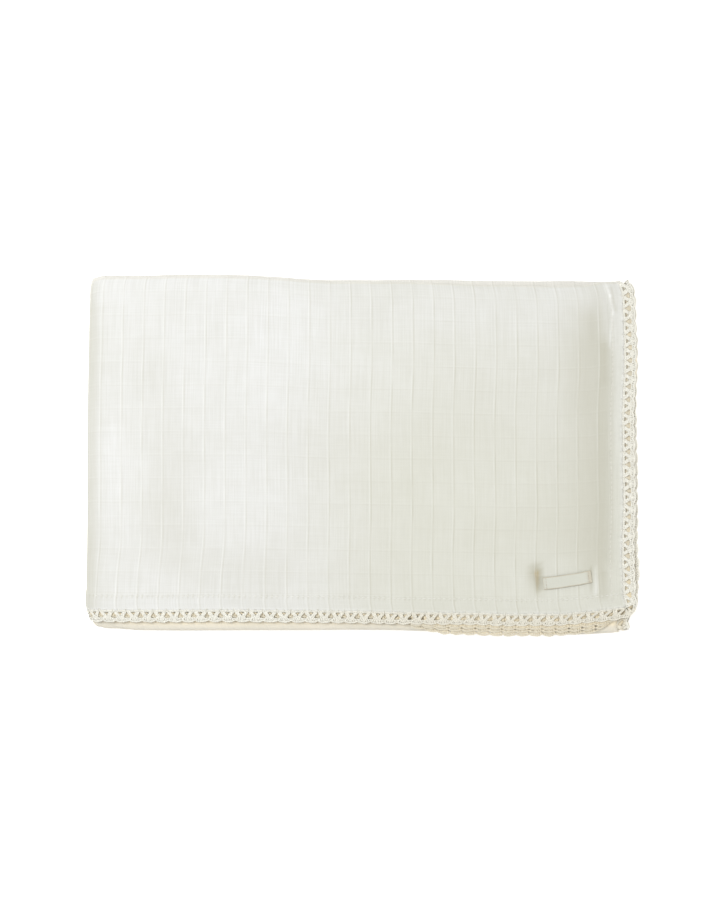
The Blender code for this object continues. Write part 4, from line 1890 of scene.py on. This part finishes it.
@dataclass
class Studio:
    """A pale floor, soft light from above left, and a camera that looks straight down."""

    lamps: tuple[Lamp, ...] = (
        Lamp("key", (-0.66, 0.24, 1.05), 0.6, 11.5, (0.985, 1.0, 1.0)),
        Lamp("side_fill", (1.3, -0.2, 0.3), 0.6, 8.0, (1.0, 0.99, 0.96)),
        Lamp("overhead_fill", (0.1, 0.1, 1.9), 1.6, 3.6, (1.0, 0.99, 0.975)),
    )
    sky_color: Color = (1.0, 0.99, 0.97)
    sky_strength: float = 0.55
    floor_color: Color = (0.95, 0.95, 0.95)
    floor_glow: float = 0.36
    floor_half: float = 2.0
    lens: float = 120.0
    sensor: float = 36.0
    view_height: float = 0.5
    aim: tuple[float, float] = (-1.4 * MM, 2.6 * MM)

    def floor(self) -> bpy.types.Object:
        """The floor the bundle lies on."""
        corners = np.array([(-1, -1, 0), (1, -1, 0), (1, 1, 0), (-1, 1, 0)]) * self.floor_half
        floor = mesh_object("floor", corners, np.array([[0, 1, 2, 3]]), corners[:, :2], "floor")
        material = bpy.data.materials.new("pale_paper")
        material.use_nodes = True
        shader = material.node_tree.nodes["Principled BSDF"]
        shader.inputs["Base Color"].default_value = (*self.floor_color, 1.0)
        shader.inputs["Roughness"].default_value = 0.9
        shader.inputs["Specular IOR Level"].default_value = 0.1
        shader.inputs["Emission Color"].default_value = (1.0, 1.0, 1.0, 1.0)
        shader.inputs["Emission Strength"].default_value = self.floor_glow
        floor.data.materials.append(material)
        return floor

    def camera(self, top: float) -> None:
        """The camera, high above the bundle so that its sides hardly show."""
        data = bpy.data.cameras.new("overhead")
        data.lens = self.lens
        data.sensor_width = self.sensor
        distance = self.view_height * self.lens / self.sensor
        data.clip_start = 0.05
        data.clip_end = 20.0
        camera = bpy.data.objects.new("overhead", data)
        camera.location = (*self.aim, top + distance)
        bpy.context.scene.collection.objects.link(camera)
        bpy.context.scene.camera = camera

    def build(self) -> None:
        """Sets the stage."""
        self.floor()
        for lamp in self.lamps:
            lamp.hang()
        world = bpy.data.worlds.new("studio")
        world.use_nodes = True
        background = world.node_tree.nodes["Background"]
        background.inputs["Color"].default_value = (*self.sky_color, 1.0)
        background.inputs["Strength"].default_value = self.sky_strength
        bpy.context.scene.world = world
        bpy.context.scene.view_settings.view_transform = "Standard"
        self.camera(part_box("swaddle_cloth")[1].z)


# The shade and deep colours are painted into shut-in places: shade is painted shade, and deep is painted
# bounce light in the muslin and the crochet, and painted deeper shade in the thread and the tape. The tape's
# shade colour is only its slub streaks.
MUSLIN = MuslinFinish(
    name="muslin", base=(0.728, 0.73, 0.724), shade=(0.752, 0.697, 0.588), deep=(0.93, 0.80, 0.56),
    roughness=0.92, sheen=0.12, bump=0.5,
)
CROCHET = YarnFinish(
    name="crochet_cotton", base=(0.775, 0.772, 0.72), shade=(0.70, 0.645, 0.52), deep=(0.90, 0.78, 0.56),
    roughness=0.85, sheen=0.1, bump=0.5,
)
THREAD = YarnFinish(
    name="sewing_thread", base=(0.80, 0.80, 0.77), shade=(0.62, 0.60, 0.53), deep=(0.45, 0.37, 0.26),
    roughness=0.7, sheen=0.0, bump=0.5, lay=0.5 * MM,
)
TAPE = TapeFinish(
    name="label_tape", base=(0.595, 0.603, 0.54), shade=(0.54, 0.53, 0.45), deep=(0.43, 0.35, 0.23),
    roughness=0.6, sheen=0.05, bump=0.4,
)


class Blanket:
    """All the blanket's pieces, folded by one plan."""

    def __init__(self) -> None:
        """Makes the plan and the shared makers."""
        self.plan = FoldPlan()
        self.relief = ClothRelief()
        self.effects = SharedEffects()
        self.repeater = LineRepeater()

    def build(self) -> None:
        """Builds the pieces and hands each over to its body."""
        edging = Edging(self.plan, self.repeater).build(CROCHET.build(self.effects))
        for piece in edging:
            self.hand_over(piece, "crochet_edging", "crochet_yarn")
        thread = THREAD.build(self.effects)
        label = SideLabel(self.plan, self.relief)
        tape = label.build(TAPE.build(self.effects))
        self.hand_over(tape, "side_label", "label_tape")
        stitches = HemStitches(self.plan, self.relief, self.repeater).build(thread)
        for piece in stitches:
            self.hand_over(piece, "swaddle_cloth", "muslin")
        tacks = label.stitches(thread)
        self.hand_over(tacks, "side_label", "label_tape")
        cloth = SwaddleCloth(self.plan, self.relief).build(MUSLIN.build(self.effects, self.relief))
        self.hand_over(cloth, "swaddle_cloth", "muslin")
        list(edging)
        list(stitches)

    @staticmethod
    def hand_over(piece: bpy.types.Object, node: str, slot: str) -> None:
        """Attaches a finished piece to its body, hides the solid that it stands for, and logs it."""
        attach(piece, BODY)
        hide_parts(node)
        log_piece(piece)


def main() -> None:
    """Builds the blanket's pieces in order, then the studio."""
    logging.basicConfig(level=logging.INFO, format="%(name)s %(message)s")
    Blanket().build()
    Studio().build()


if __name__ == "__main__":
    main()
